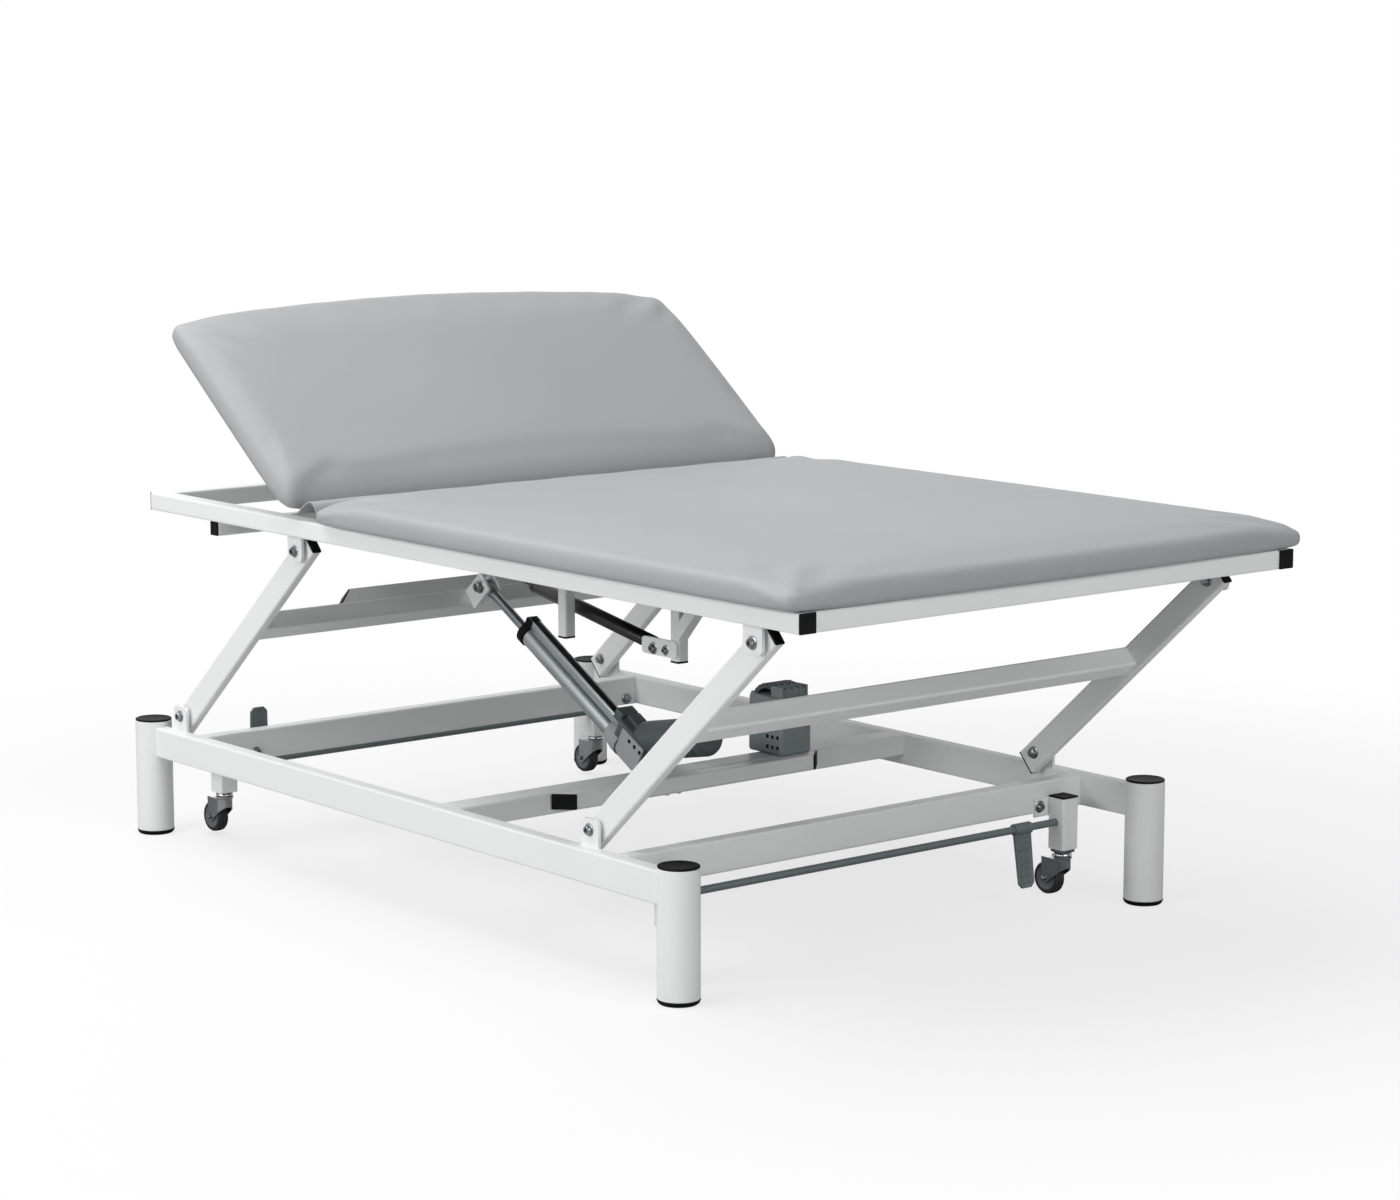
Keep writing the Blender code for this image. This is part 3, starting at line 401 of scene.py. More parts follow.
ENDS = (("head", -1), ("foot", 1))
SIDES = (("near", -1), ("far", 1))
TAGS = [f"{end}_{side}" for end, out in ENDS for side, sign in SIDES]
UP = rotate(-90, "Y")
DOWN = rotate(90, "Y")
SIDEWAYS = rotate(90, "Z")
ACROSS = {"near": rotate(-90, "Z"), "far": SIDEWAYS}
Y_AXIS = Vector((0, 1, 0))
print("corners:", *TAGS)

# %% [markdown]
# ## Legs
# Each leg is a round tube that stands on a black polyethylene glide and is closed by a black plug.
# The solids' facets would show on such a large round, so the tube is turned again with a fine
# profile. The plug has a small step at its rim and a slightly hollow top, as moulded caps do.

# %% Legs
LEG_STEPS = 64
PLUG_GAP = 0.0002
GLIDE_GAP = 0.0003
GLIDE_RIM = 0.0005
for tag in TAGS:
    low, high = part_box(f"leg_{tag}")
    at = middle(f"leg_{tag}")
    radius = (high.x - low.x) / 2
    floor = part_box(f"foot_pad_{tag}")[0].z
    stand = move(at.x, at.y, 0.0) @ UP
    tube = rod(low.z, high.z, radius, steps=LEG_STEPS)
    piece(f"leg_tube_{tag}", put(tube, stand), powder_coat, "base", f"leg_{tag}")
    glide = turned([(floor, 0.0), (floor, radius - 0.004), (floor + 0.002, radius - 0.0015),
                    (low.z - 0.002, radius + GLIDE_RIM), (low.z - GLIDE_GAP, radius + GLIDE_RIM),
                    (low.z - GLIDE_GAP, 0.0)], LEG_STEPS)
    piece(f"leg_glide_{tag}", put(glide, stand), plug_black, "base", f"foot_pad_{tag}")
    lid = turned([(0, 0), (0, radius - 0.0008), (0.0022, radius - 0.0004), (0.0034, radius - 0.0016),
                  (0.0038, radius - 0.0045), (0.003, radius - 0.0075), (0.0028, 0)], LEG_STEPS,
                 high.z + PLUG_GAP)
    piece(f"leg_plug_{tag}", put(lid, stand), plug_black, "base")
print("legs:", len(TAGS))

# %% [markdown]
# ## Plugs in the tube ends
# Square and rectangular tubes are closed by black ribbed inserts of which only the flange shows: a
# thin rounded block with a shallow sunk field. Its place is read from the box of its tube.

# %% Tube plugs
FLANGE_LESS = 0.0008
FLANGE_EDGE = 0.0014
FIELD_IN = 0.0035
FIELD_DEEP = 0.0007
POST_WIDE = 0.025
POST_BESIDE = 0.004
CASTER_POST = 0.04


def plug(name, place, body, width, height, thick=0.0035):
    """A flange in the YZ plane of its place that stands out along +X."""
    bm = block((thick, width - FLANGE_LESS, height - FLANGE_LESS), FLANGE_EDGE)
    front = [f for f in bm.faces if f.normal.x > 0.99]
    bmesh.ops.inset_region(bm, faces=front, thickness=FIELD_IN, depth=0.0)
    bmesh.ops.translate(bm, vec=(-FIELD_DEEP, 0, 0), verts=list({v for f in front for v in f.verts}))
    put(bm, place @ move(thick / 2 + PLUG_GAP, 0, 0))
    piece(name, outward(bm), plug_black, body)


bar_low, bar_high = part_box("top_crossbar_foot")
square = bar_high.z - bar_low.z
for side, sign in SIDES:
    low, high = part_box(f"top_rail_{side}")
    y = (high.y if sign > 0 else low.y) - sign * square / 2
    for end, x, degrees in (("foot", high.x, 0), ("head", low.x, 180)):
        place = move(x, y, (bar_low.z + bar_high.z) / 2) @ rotate(degrees, "Z")
        plug(f"rail_plug_{end}_{side}", place, "top", square, square)
    low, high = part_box("stop_tube")
    place = move((low.x + high.x) / 2, low.y if sign < 0 else high.y, (low.z + high.z) / 2)
    plug(f"stop_tube_plug_{side}", place @ ACROSS[side], "top", high.x - low.x, high.z - low.z)
rest = middle("rest_post")
spring_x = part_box("spring_crossbar")[0].x + POST_WIDE / 2
for node, x, y in (("rest_post", rest.x, rest.y),
                   ("spring_post", spring_x, pivot["gas_swing"].y - POST_BESIDE)):
    plug(f"{node}_plug", move(x, y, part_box(node)[0].z) @ DOWN, "top", POST_WIDE, POST_WIDE, 0.004)
for tag in TAGS:
    stem = middle(f"caster_stem_{tag}")
    place = move(stem.x, stem.y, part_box(f"caster_post_{tag}")[1].z) @ UP
    plug(f"caster_post_plug_{tag}", place, "base", CASTER_POST, CASTER_POST)
print("square tube:", round(square, 4), "m")

# %% [markdown]
# ## Lift arm plugs and pivot bolts
# The flat lift arms end in black inserts just past their pivots. Each pivot is a socket-head bolt
# with a washer outside the welded lug, and a lock nut with its own washer on the arm's inner face.
# Heads and crowns are profiles in shares of their height and radius, so each serves every size.

# %% Bolts and nuts
WASHER = 0.0016
HEAD = ((0, 0), (0, 1), (0.75, 1), (1, 0.82), (1, 0.46), (0.45, 0.4232), (0.45, 0))
CROWN = ((0.6, 0), (0.6, 0.8), (0.9, 0.78), (1, 0.66), (1, 0.56), (0.9, 0.54), (1.08, 0.5), (1.12, 0))


def hexagon(radius, depth, edge):
    bm = bmesh.new()
    bmesh.ops.create_cone(bm, cap_ends=True, segments=6, radius1=radius, radius2=radius, depth=depth)
    put(bm, DOWN @ move(0, 0, depth / 2))
    return soften(bm, bm.edges[:], edge)


def scaled(profile, height, radius):
    return turned([(along * height, out * radius) for along, out in profile], 24, WASHER)


def washer(radius):
    return turned([(0, 0), (0, radius), (WASHER * 0.7, radius), (WASHER, radius - 0.0006), (WASHER, 0)], 32)


def socket_bolt(radius=0.0078, height=0.0068):
    """A washer and a socket head that stand out along +X."""
    return gather(washer(radius + 0.0038), scaled(HEAD, height, radius))


def lock_nut(radius=0.0098, height=0.0082):
    """A washer, a hexagon with a turned crown, and the bolt's end."""
    nut = put(hexagon(radius, height * 0.72, 0.0005), move(WASHER, 0, 0))
    return gather(washer(radius + 0.0022), nut, scaled(CROWN, height, radius))


def through(name, at, apart, body, bolt=(), nut=()):
    """A nut on the near side of a pivot and a bolt's head on its far side."""
    for side, sign in SIDES:
        word, fixing = ("bolt", socket_bolt(*bolt)) if sign > 0 else ("nut", lock_nut(*nut))
        place = move(at.x, at.y + sign * apart, at.z) @ ACROSS[side]
        piece(f"{name}_{word}", put(fixing, place), zinc, body)


# %% Arms
LUG_OUT = 0.5465
ARM_PAST = 0.03
ARM_DROP = 0.003
ARM_TUBE = (0.02, 0.05, 0.004)
STIFFENER_HALF = 0.31
STIFFENER_RISE = 0.03
STIFFENER_WIDE = 0.038
STIFFENER_CAP = 0.0025
BEAM_HALF = 0.02
BEAM_ALONG = 0.313
arm = pivot["top_level"] - pivot["lift"]
arm_dir = arm.normalized()
arm_up = arm_dir.cross(Y_AXIS)
arm_low, arm_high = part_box("lift_arm_head_near")
arm_y = abs(arm_low.y + arm_high.y) / 2
inner_y = arm_y - abs(arm_high.y - arm_low.y) / 2
for end, low_pivot in (("head", pivot["lift"]), ("foot", pivot["foot_arm_swing"])):
    for side, sign in SIDES:
        inward = rotate(-90 * sign, "Z")
        for word, along, out, body in (("low", 0, -arm_dir, "base"), ("high", arm.length, arm_dir, "top")):
            tag = f"{word}_{end}_{side}"
            at = low_pivot + arm_dir * along
            bolt = put(socket_bolt(), move(at.x, sign * LUG_OUT, at.z) @ ACROSS[side])
            piece(f"pivot_bolt_{tag}", bolt, zinc, body)
            nut = put(lock_nut(), move(at.x, sign * inner_y, at.z) @ inward)
            piece(f"pivot_nut_{tag}", nut, zinc, body)
            tip = at + out * ARM_PAST - arm_up * ARM_DROP
            tip.y = sign * arm_y
            plug(f"arm_plug_{tag}", aim(tip, out, Y_AXIS), f"{end}_arms", *ARM_TUBE)
for side, sign in SIDES:
    at = pivot["lift"] + arm_dir * BEAM_ALONG + arm_up * (BEAM_HALF + STIFFENER_RISE / 2)
    at.y = sign * (STIFFENER_HALF - STIFFENER_RISE / 2)
    place = aim(at, Y_AXIS * sign + arm_up, arm_dir)
    plug(f"stiffener_cap_{side}", place, "head_arms", STIFFENER_WIDE, STIFFENER_RISE * math.sqrt(2),
         STIFFENER_CAP)
print("arm:", round(arm.length, 4), "m between pivots")

# %% [markdown]
# ## Bolts through the cross rails
# Each caster post is welded to a plate, and one bolt clamps the plate to its cross rail. Its head sits
# on the plate and its lock nut on the rail's inner face, a little beside the post. Black caps close
# the mitred ends of the short motor beam at 45 degrees.

# %% Cross rail bolts and beam caps
BOLT_BESIDE = 0.043
BOLT_RISE = 0.1745
BOLT_LIMIT = 0.521
POST_PLATE = 0.0043
for end, out in ENDS:
    rail_low, rail_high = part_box(f"base_crossbar_{end}")
    inner, outer = (rail_high.x, rail_low.x) if out < 0 else (rail_low.x, rail_high.x)
    for side, sign in SIDES:
        y = pivot[f"fork_{end}_{side}_swivel"].y - out * BOLT_BESIDE
        y = max(-BOLT_LIMIT, min(BOLT_LIMIT, y))
        for word, fixing, x, facing in (("bolt", socket_bolt(), outer + out * POST_PLATE, out),
                                        ("nut", lock_nut(), inner, -out)):
            place = move(x, y, BOLT_RISE) @ rotate(0 if facing > 0 else 180, "Z")
            piece(f"post_{word}_{end}_{side}", put(fixing, place), zinc, "base")
low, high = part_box("motor_beam")
beam = middle("motor_beam")
wide = high.x - low.x
for side, sign in SIDES:
    end_y = (low.y if sign < 0 else high.y) - sign * wide / 2
    place = aim((beam.x, end_y, beam.z), (1, sign, 0), (-sign, 1, 0))
    plug(f"motor_beam_cap_{side}", place, "base", wide * math.sqrt(2), high.z - low.z, 0.004)
print("motor beam:", round(wide, 4), "m wide")

# %% [markdown]
# ## Foot pedals
# A pedal turns a shaft that runs through both caster posts and lets the wheels down. The pedal is
# moulded nylon: a tapered blade on a sleeve, with a raised rim and two rows of round grip studs. It
# starts as a plate with a tapered outline. The shaft is a plain round bar.

# %% Pedals
SHAFT_RADIUS = 0.007
PEDALS = {"head": (-0.386, 0), "foot": (0.362, 172.0)}
STUD = ((0, 0), (0, 0.0052), (0.001, 0.005), (0.0014, 0.004), (0.0014, 0))
STUD_ROWS = 7


def pedal():
    """A blade that stands along +Z with its width on Y, its sleeve on the Y axis."""
    half, tip, length = 0.0212, 0.018, 0.11
    outline = [(-half, 0.004), (half, 0.004), (tip + 0.001, length - 0.008), (tip - 0.007, length),
               (-tip + 0.007, length), (-tip - 0.001, length - 0.008)]
    blade = put(plate(outline, 0.0062, 0.0012), SIDEWAYS)
    for face in [f for f in blade.faces if abs(f.normal.x) > 0.99]:
        bmesh.ops.inset_region(blade, faces=[face], thickness=0.0032, depth=0.0)
        bmesh.ops.translate(blade, vec=face.normal * -0.001, verts=face.verts)
    studs = []
    for row in range(STUD_ROWS):
        z = 0.024 + row * 0.0122
        for column in (-1, 1):
            y = column * (0.0082 - 0.0014 * row / (STUD_ROWS - 1))
            for out, degrees in ((-1, 180), (1, 0)):
                studs.append(put(turned(STUD, 16), move(out * 0.0018, y, z) @ rotate(degrees, "Z")))
    sleeve = put(rod(-half, half, 0.011, 0.0012), SIDEWAYS)
    return gather(blade, sleeve, *studs)


for end, (y, tilt) in PEDALS.items():
    at = pivot[f"pedal_{end}_turn"]
    low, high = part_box(f"pedal_shaft_{end}")
    half = (high.y - low.y) / 2
    bar = put(rod(-half, half, SHAFT_RADIUS), move(at.x, 0, at.z) @ SIDEWAYS)
    piece(f"pedal_bar_{end}", bar, pedal_grey, f"pedal_{end}", f"pedal_shaft_{end}")
    blade = put(pedal(), move(at.x, y, at.z) @ rotate(tilt, "Y"))
    piece(f"foot_pedal_{end}", blade, pedal_grey, f"pedal_{end}", angle=30)
print("pedals:", len(PEDALS))

# %% [markdown]
# ## Casters
# A caster is a ball race under the post, a chromed fork pressed from one sheet, and a grey wheel with
# a black tyre. The fork is a U-shaped strip, drawn down, cut on the slant and then given its
# thickness. The race and the wheel are lathe work.

# %% Casters
FORK_SHEET = 0.0024
FORK_STEPS = 8
CROWN_DROP = 0.0125
AXLE_OUT = 0.0156
WHEEL_STEPS = 56
RACE = ((0, 0), (0, 0.015), (-0.0016, 0.0168), (-0.0042, 0.0172), (-0.0052, 0.0156),
        (-0.0062, 0.0156), (-0.0072, 0.0178), (-0.01, 0.0178), (-0.0114, 0.016), (-0.015, 0.015),
        (-0.015, 0))
HALF_TYRE = [(-0.0095, 0), (-0.0095, 0.0225), (-0.0112, 0.0235), (-0.0118, 0.0255), (-0.011, 0.0285),
             (-0.0085, 0.0303), (-0.004, 0.0309)]
HALF_RIM = [(-0.0098, 0), (-0.0116, 0.0052), (-0.0116, 0.0075), (-0.0102, 0.009), (-0.0102, 0.019),
            (-0.011, 0.0202), (-0.0114, 0.0218), (-0.0104, 0.0232)]


def pull(bm, strip, vec):
    """Draw a strip of edges out along a vector and return its new front."""
    grown = bmesh.ops.extrude_edge_only(bm, edges=strip)["geom"]
    bmesh.ops.translate(bm, vec=vec, verts=only_verts(grown))
    return [part for part in grown if isinstance(part, bmesh.types.BMEdge)]


def mirror(profile):
    return [(-along, radius) for along, radius in reversed(profile)]


def fork_shell(drop, trail):
    """The pressed fork from its crown at the origin down to the axle at (trail, -drop)."""
    bm = bmesh.new()
    wide = 0.0155
    back = trail - 0.01
    path = [(back, -0.015), (-0.006, -wide)]
    path += [(wide * math.sin(a), -wide * math.cos(a)) for a in [math.pi * k / 14 for k in range(15)]]
    path += [(-0.006, wide), (back, 0.015)]
    strip = chain(bm, [(x, y, 0.0) for x, y in path])
    for step in range(FORK_STEPS):
        strip = pull(bm, strip, (0, 0, -(drop + 0.011) / FORK_STEPS))
    front = Vector((0.016, 0, -0.016))
    slant = Vector((trail + 0.011, 0, -drop - 0.004)) - front
    for point, normal in ((front, (-slant.z, 0, slant.x)), ((trail, 0, -drop - 0.0095), (0.15, 0, -1)),
                          ((trail - 0.0085, 0, -drop), (-1, 0, -0.55)),
                          ((back + 0.003, 0, 0), (-1, 0, -0.05))):
        everything = bm.verts[:] + bm.edges[:] + bm.faces[:]
        bmesh.ops.bisect_plane(bm, geom=everything, plane_co=point, plane_no=normal, clear_outer=True)
    outward(bm)
    bmesh.ops.solidify(bm, geom=bm.faces[:], thickness=FORK_SHEET)
    return outward(bm)


for tag in TAGS:
    axle = pivot[f"wheel_{tag}_spin"]
    swivel = pivot[f"fork_{tag}_swivel"]
    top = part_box(f"caster_fork_{tag}")[1].z
    trail = axle.x - swivel.x
    crown = top - CROWN_DROP
    shell = fork_shell(crown - axle.z, -abs(trail))
    shelf = block((0.036, 0.029, 0.0026), 0.001, (-0.01, 0, -0.0014))
    turn = rotate(0 if trail < 0 else 180, "Z")
    low_part = put(gather(shell, shelf), move(swivel.x, swivel.y, crown) @ turn)
    race = put(turned(RACE, 48), move(swivel.x, swivel.y, top) @ UP)
    piece(f"caster_horn_{tag}", gather(race, low_part), chrome, f"fork_{tag}", f"caster_fork_{tag}")
    nuts = [put(hexagon(0.0052, 0.0042, 0.0004), move(axle.x, axle.y + out * AXLE_OUT, axle.z) @ ACROSS[side])
            for side, out in SIDES]
    piece(f"caster_axle_{tag}", gather(*nuts), zinc, f"fork_{tag}")
    around = move(*axle) @ SIDEWAYS
    tyre = turned(HALF_TYRE + [(0, 0.031)] + mirror(HALF_TYRE), WHEEL_STEPS)
    piece(f"caster_tyre_{tag}", put(tyre, around), tyre_rubber, f"wheel_{tag}", f"caster_wheel_{tag}")
    hub = turned(HALF_RIM + mirror(HALF_RIM), WHEEL_STEPS)
    piece(f"caster_hub_{tag}", put(hub, around), hub_grey, f"wheel_{tag}")
print("casters:", len(TAGS))

# %% [markdown]
# ## Lifting actuator
# The actuator is an electric spindle: a gear case with a motor on its back, an aluminium tube with a
# switch track on top, and a steel rod that ends in a cast eye. Everything is laid out along the tube
# in one local place whose X runs down the tube to the lower pivot, so sizes stay readable. The case
# is rounded blocks with lighter cover plates, and the motor is turned with cooling rings.

# %% Actuator
EYE_RADIUS = 0.016
EYE_HALF = 0.011
COVER = ((-0.1135, -0.002), (-0.101, -0.0105), (-0.044, -0.0105), (-0.042, -0.008), (-0.042, 0.045),
         (-0.044, 0.047), (-0.111, 0.047), (-0.1135, 0.0445))
PIT = ((0, 0), (0.0001, 0.0036), (0.0005, 0.0042), (0.0007, 0.0036), (0.0002, 0.003), (0.0002, 0))
PITS_ALONG = (-0.0835, -0.0655, -0.0475)
COLLAR = ((-0.164, 0), (-0.164, 0.0225), (-0.162, 0.0255), (-0.144, 0.0285), (-0.136, 0.03),
          (-0.12, 0.03), (-0.12, 0))
root = aim(pivot["actuator_swing"], -stroke, Y_AXIS)


def ring(inner, outer, half, edge=0.0008, steps=40):
    return outward(lathe(broken(-half, half, inner, outer, edge), steps, closed=True))


def laid(name, shape, material, *nodes, body="actuator", **more):
    """A piece of the actuator, laid out along its tube."""
    piece(f"actuator_{name}", put(shape, root), material, body, *nodes, **more)


gear = gather(block((0.096, 0.058, 0.06), 0.006, (-0.0897, 0.003, 0.021)),
              block((0.024, 0.04, 0.024), 0.003, (-0.148, 0.0, 0.0475)),
              block((0.07, 0.03, 0.012), 0.002, (-0.1, 0.006, 0.0535)),
              put(ring(0.0066, EYE_RADIUS, EYE_HALF), SIDEWAYS),
              block((0.04, 0.019, 0.025), 0.003, (-0.0305, 0, 0)))
laid("gear_case", gear, cover_grey, "actuator_housing")
for side, sign in SIDES:
    laid(f"cover_{side}", put(plate(COVER, 0.006, 0.0016), move(0, sign * 0.029, 0)), gear_grey)
    pits = [put(turned(PIT, 24), move(along, sign * 0.0319, 0.0365) @ ACROSS[side]) for along in PITS_ALONG]
    laid(f"cover_holes_{side}", gather(*pits), plug_black)
laid("collar", turned(COLLAR, 48), gear_grey)
print("gear case:", len(PITS_ALONG), "pits a side")

# %% Motor
MOTOR_TILT = 40.0
MOTOR_RADIUS = 0.038
MOTOR_END = 0.193
MOTOR_ROUND = 0.012
shrink = [(0.0, MOTOR_RADIUS), (0, 0.004), (0.004, 0.0005), (0.112, 0.0005), (0.113, 0.002), (0.116, 0.002),
          (0.117, 0)]
for k in range(10):
    start = 0.124 + k * 0.0054
    shrink += [(start, 0.0), (start + 0.0008, 0.0018), (start + 0.0024, 0.0018), (start + 0.0032, 0.0)]
for k in range(7):
    turn = math.radians(90 * k / 6)
    shrink.append((MOTOR_END - MOTOR_ROUND * (1 - math.sin(turn)), MOTOR_ROUND * (1 - math.cos(turn))))
shrink.append((MOTOR_END, MOTOR_RADIUS))
motor = turned([(along, MOTOR_RADIUS - less) for along, less in shrink], 64)
put(motor, move(-0.081, 0.011, 0.034) @ rotate(-MOTOR_TILT, "Y"))
laid("motor", motor, cover_grey, angle=30)
print("motor:", len(shrink), "points in its profile")

# %% [markdown]
# ## Tube, rod and eye
# The tube is a hollow extrusion; the slot in the track on top is a black strip of painted shade. A
# moulded cap closes tube and track and guides the rod. The rod slides, so the cap's hole has
# clearance and the eye's neck stops short of the cap when drawn in. The eye sits between two plates.

# %% Tube and rod
TUBE_RADIUS = 0.0215
TUBE_FROM = -0.486
TUBE_TO = -0.142
CAP_AT = TUBE_FROM + 0.0085
STROKE_BACK = 0.1275
NECK_MOST = 0.037
NECK_CLEAR = 0.011
ROD_RADIUS = 0.0095
PISTON_RADIUS = 0.0174
length = TUBE_TO - TUBE_FROM
mid = (TUBE_TO + TUBE_FROM) / 2
tube = put(ring(0.018, TUBE_RADIUS, length / 2, 0.0006, 56), move(mid, 0, 0))
track = block((length - 0.004, 0.022, 0.02), 0.0022, (mid, 0, TUBE_RADIUS + 0.004))
lips = [block((length - 0.004, 0.003, 0.004), 0.001, (mid, y, TUBE_RADIUS + 0.0135))
        for y in (-0.0088, 0.0088)]
laid("profile", gather(tube, track, *lips), alloy, "actuator_tube")
# The black strip between the track's lips is painted shade for its slot.
slot_shade_strip = block((length - 0.01, 0.012, 0.002), 0.0006, (mid, 0, TUBE_RADIUS + 0.0142))
laid("painted_slot_shade", slot_shade_strip, plug_black)
cap = put(ring(0.0104, 0.0245, 0.01, 0.002, 48), move(CAP_AT, 0, 0))
hood = block((0.02, 0.027, 0.019), 0.003, (CAP_AT, 0, TUBE_RADIUS + 0.006))
laid("tube_cap", gather(cap, hood), plug_black)

rod_low, rod_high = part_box("actuator_rod")
swing = pivot["actuator_swing"]
reach = (Vector((rod_low.x + EYE_RADIUS, 0, rod_high.z - EYE_RADIUS)) - swing).length
bar = turned([(0.016, 0), (0.016, ROD_RADIUS), (0.334, ROD_RADIUS), (0.334, PISTON_RADIUS),
              (0.346, PISTON_RADIUS), (0.346, 0)], 40, -reach)
laid("piston", bar, rod_steel, "actuator_rod", body="actuator_rod")
eye = put(ring(0.006, EYE_RADIUS, EYE_HALF, 0.0015), move(-reach, 0, 0) @ SIDEWAYS)
neck = min(NECK_MOST, reach - STROKE_BACK + CAP_AT - NECK_CLEAR)
cone = turned([(0.008, 0), (0.008, 0.0108), (neck - 0.003, 0.0125), (neck, 0.0115), (neck, 0)], 32, -reach)
laid("eye", gather(eye, cone), alloy, body="actuator_rod")
through("actuator_lug", swing + stroke * reach, 0.0165, "head_arms", (0.0095, 0.0078), (0.0118, 0.01))
through("actuator_foot", swing, 0.0205, "base")
print("actuator reach:", round(reach, 4), "neck", round(neck, 4))

# %% [markdown]
# ## Control box
# The box on the middle rail drives the motor. It is a moulded ABS case with a parting line, an arched
# ribbed lid over its middle and a finned end. The near face carries plain round sockets. The arch is
# a flat strip spun about the lid's centre line.

# %% Control box
BOX = Vector((0.1, 0.078, 0.114))
SEAM = 0.064
SEAM_GAP = 0.001
CASE_EDGE = 0.007
GLAND = ((0, 0), (0, 0.0095), (0.004, 0.0095), (0.006, 0.008), (0.012, 0.0065), (0.012, 0))
low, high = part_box("control_box")
corner = move(high.x - BOX.x / 2, (low.y + high.y) / 2, low.z)
under = block((BOX.x, BOX.y, SEAM), CASE_EDGE, (0, 0, SEAM / 2))
over = block((BOX.x - SEAM_GAP, BOX.y - SEAM_GAP, BOX.z - SEAM - SEAM_GAP), CASE_EDGE,
             (0, 0, (SEAM + BOX.z + SEAM_GAP) / 2))
core = block((BOX.x - 0.008, BOX.y - 0.008, 0.03), 0.002, (0, 0, SEAM))
gland = put(turned(GLAND, 24), move(-BOX.x / 2, -0.012, 0.04) @ rotate(180, "Z"))
piece("control_case", put(gather(under, over, core, gland), corner), case_grey, "base", "control_box")
print("case:", [round(v, 3) for v in BOX])

# %% Lid, fins and sockets
inner, outer, wide = 0.035, 0.0436, 0.031
arch = bmesh.new()
section = [(-outer, -wide), (-outer, wide), (-inner, wide), (-inner, -wide)]
face = arch.faces.new([arch.verts.new((x, y, 0)) for x, y in section])
bmesh.ops.spin(arch, geom=[face] + face.edges[:] + face.verts[:], cent=(0, 0, 0), axis=(0, 1, 0),
               angle=math.pi, steps=32, use_merge=False)
ribs = [put(block((0.0022, 2 * wide + 0.001, 0.0035), 0.0008, (-outer, 0, 0)), rotate(28 + k * 15.5, "Y"))
        for k in range(9)]
fins = [block((0.034, 0.0042, 0.04), 0.0016, (0.0325, -0.031 + k * 0.0155, 0.0225)) for k in range(5)]
fins += [block((0.03, 0.064, 0.032), 0.003, (0.0325, 0, 0.0225)),
         block((0.013, 0.066, 0.026), 0.0025, (-0.039, 0, 0.0115))]
on_lid = corner @ move(-0.004, 0, BOX.z - 0.0225)
piece("control_lid", put(gather(outward(arch), *ribs), on_lid), cover_grey, "base", angle=30)
piece("control_fins", put(gather(*fins), on_lid), case_grey, "base", angle=30)
sockets, rims = [], []
for z in (0.016, 0.036):
    for x in (0.01, 0.025, 0.04):
        at = corner @ move(x, -BOX.y / 2, z) @ ACROSS["near"]
        sockets.append(put(turned([(0, 0), (0, 0.0048), (0.0006, 0.0048), (0.0006, 0)], 24), at))
        rims.append(put(ring(0.0046, 0.006, 0.0009, 0.0003, 24), at))
piece("control_sockets", gather(*sockets), plug_black, "base")
piece("control_socket_rims", gather(*rims), gear_grey, "base")
print("control box:", [round(v, 3) for v in high - low])

# %% [markdown]
# ## Gas spring
# The backrest is held by a lockable gas spring: a black enamelled cylinder with rolled shoulders, a
# thin rod and a flat eye at each end, all of it lathe work. Bolts close the eyes on the post's plate
# and on the lever.

# %% Gas spring
GAS_RADIUS = 0.014
GAS_ROD = 0.005
GAS_EYE = 0.011
BORE = GAS_ROD + 0.0005
SHOULDERS = ((-0.405, 0.005), (-0.4035, 0.002), (-0.4, 0), (-0.392, 0), (-0.3905, 0.0009),
             (-0.389, 0.0009), (-0.3875, 0), (-0.024, 0), (-0.02, 0.002), (-0.018, 0.006))
pull_dir = Vector(joint["gas_stroke"]["axis"]).normalized()
swing = pivot["gas_swing"]
spring = aim(swing, -pull_dir, Y_AXIS)
gas_low, gas_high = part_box("gas_rod")
gas_reach = (Vector((gas_low.x + GAS_EYE, swing.y, gas_high.z - GAS_EYE)) - swing).length
barrel = turned([(-0.38, 0), (-0.38, BORE), (-0.405, BORE)]
                + [(along, GAS_RADIUS - less) for along, less in SHOULDERS]
                + [(-0.014, 0.0055), (-0.01, 0.0055), (-0.01, 0)], 48)
tail = put(ring(0.0053, GAS_EYE, 0.007, 0.0008, 32), SIDEWAYS)
piece("gas_barrel", put(gather(barrel, tail), spring), enamel, "gas_cylinder", "gas_cylinder")
stem = turned([(0.009, 0), (0.009, 0.0062), (0.024, 0.0062), (0.026, GAS_ROD), (0.3, GAS_ROD), (0.3, 0)],
              32, -gas_reach)
nose = put(ring(0.005, GAS_EYE, 0.007, 0.0008, 32), move(-gas_reach, 0, 0) @ SIDEWAYS)
piece("gas_piston", put(gather(stem, nose), spring), enamel, "gas_rod", "gas_rod")
plate_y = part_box("spring_post")[0].y + 0.001
for name, size, x, z in (("spring_bolt", (), 0, 0),
                         ("spring_plate_bolt", (0.0062, 0.0055), 0.0363, 0.001)):
    place = move(swing.x + x, plate_y, swing.z + z) @ ACROSS["near"]
    piece(name, put(socket_bolt(*size), place), zinc, "top")
through("lever", swing + pull_dir * gas_reach, 0.0125, "backrest", (0.0068, 0.006), (0.0088, 0.0074))
print("gas spring:", round(gas_reach, 3), "m between eyes")

# %% [markdown]
# ## Cushions
# Each cushion is foam on a board, wrapped tightly in vinyl: crowned on top, round at its upper edge,
# tight where it turns under. A copy of the measured solid is shrunk and remeshed into even squares,
# and a quarter ellipse rounds its upper edge, more gently at the corners. Blown up as cloth with its
# underside held, it gets the slow swell of real foam. The movement is capped, and the result is
# fitted back to the measured size. A thin black cloth closes the underside.

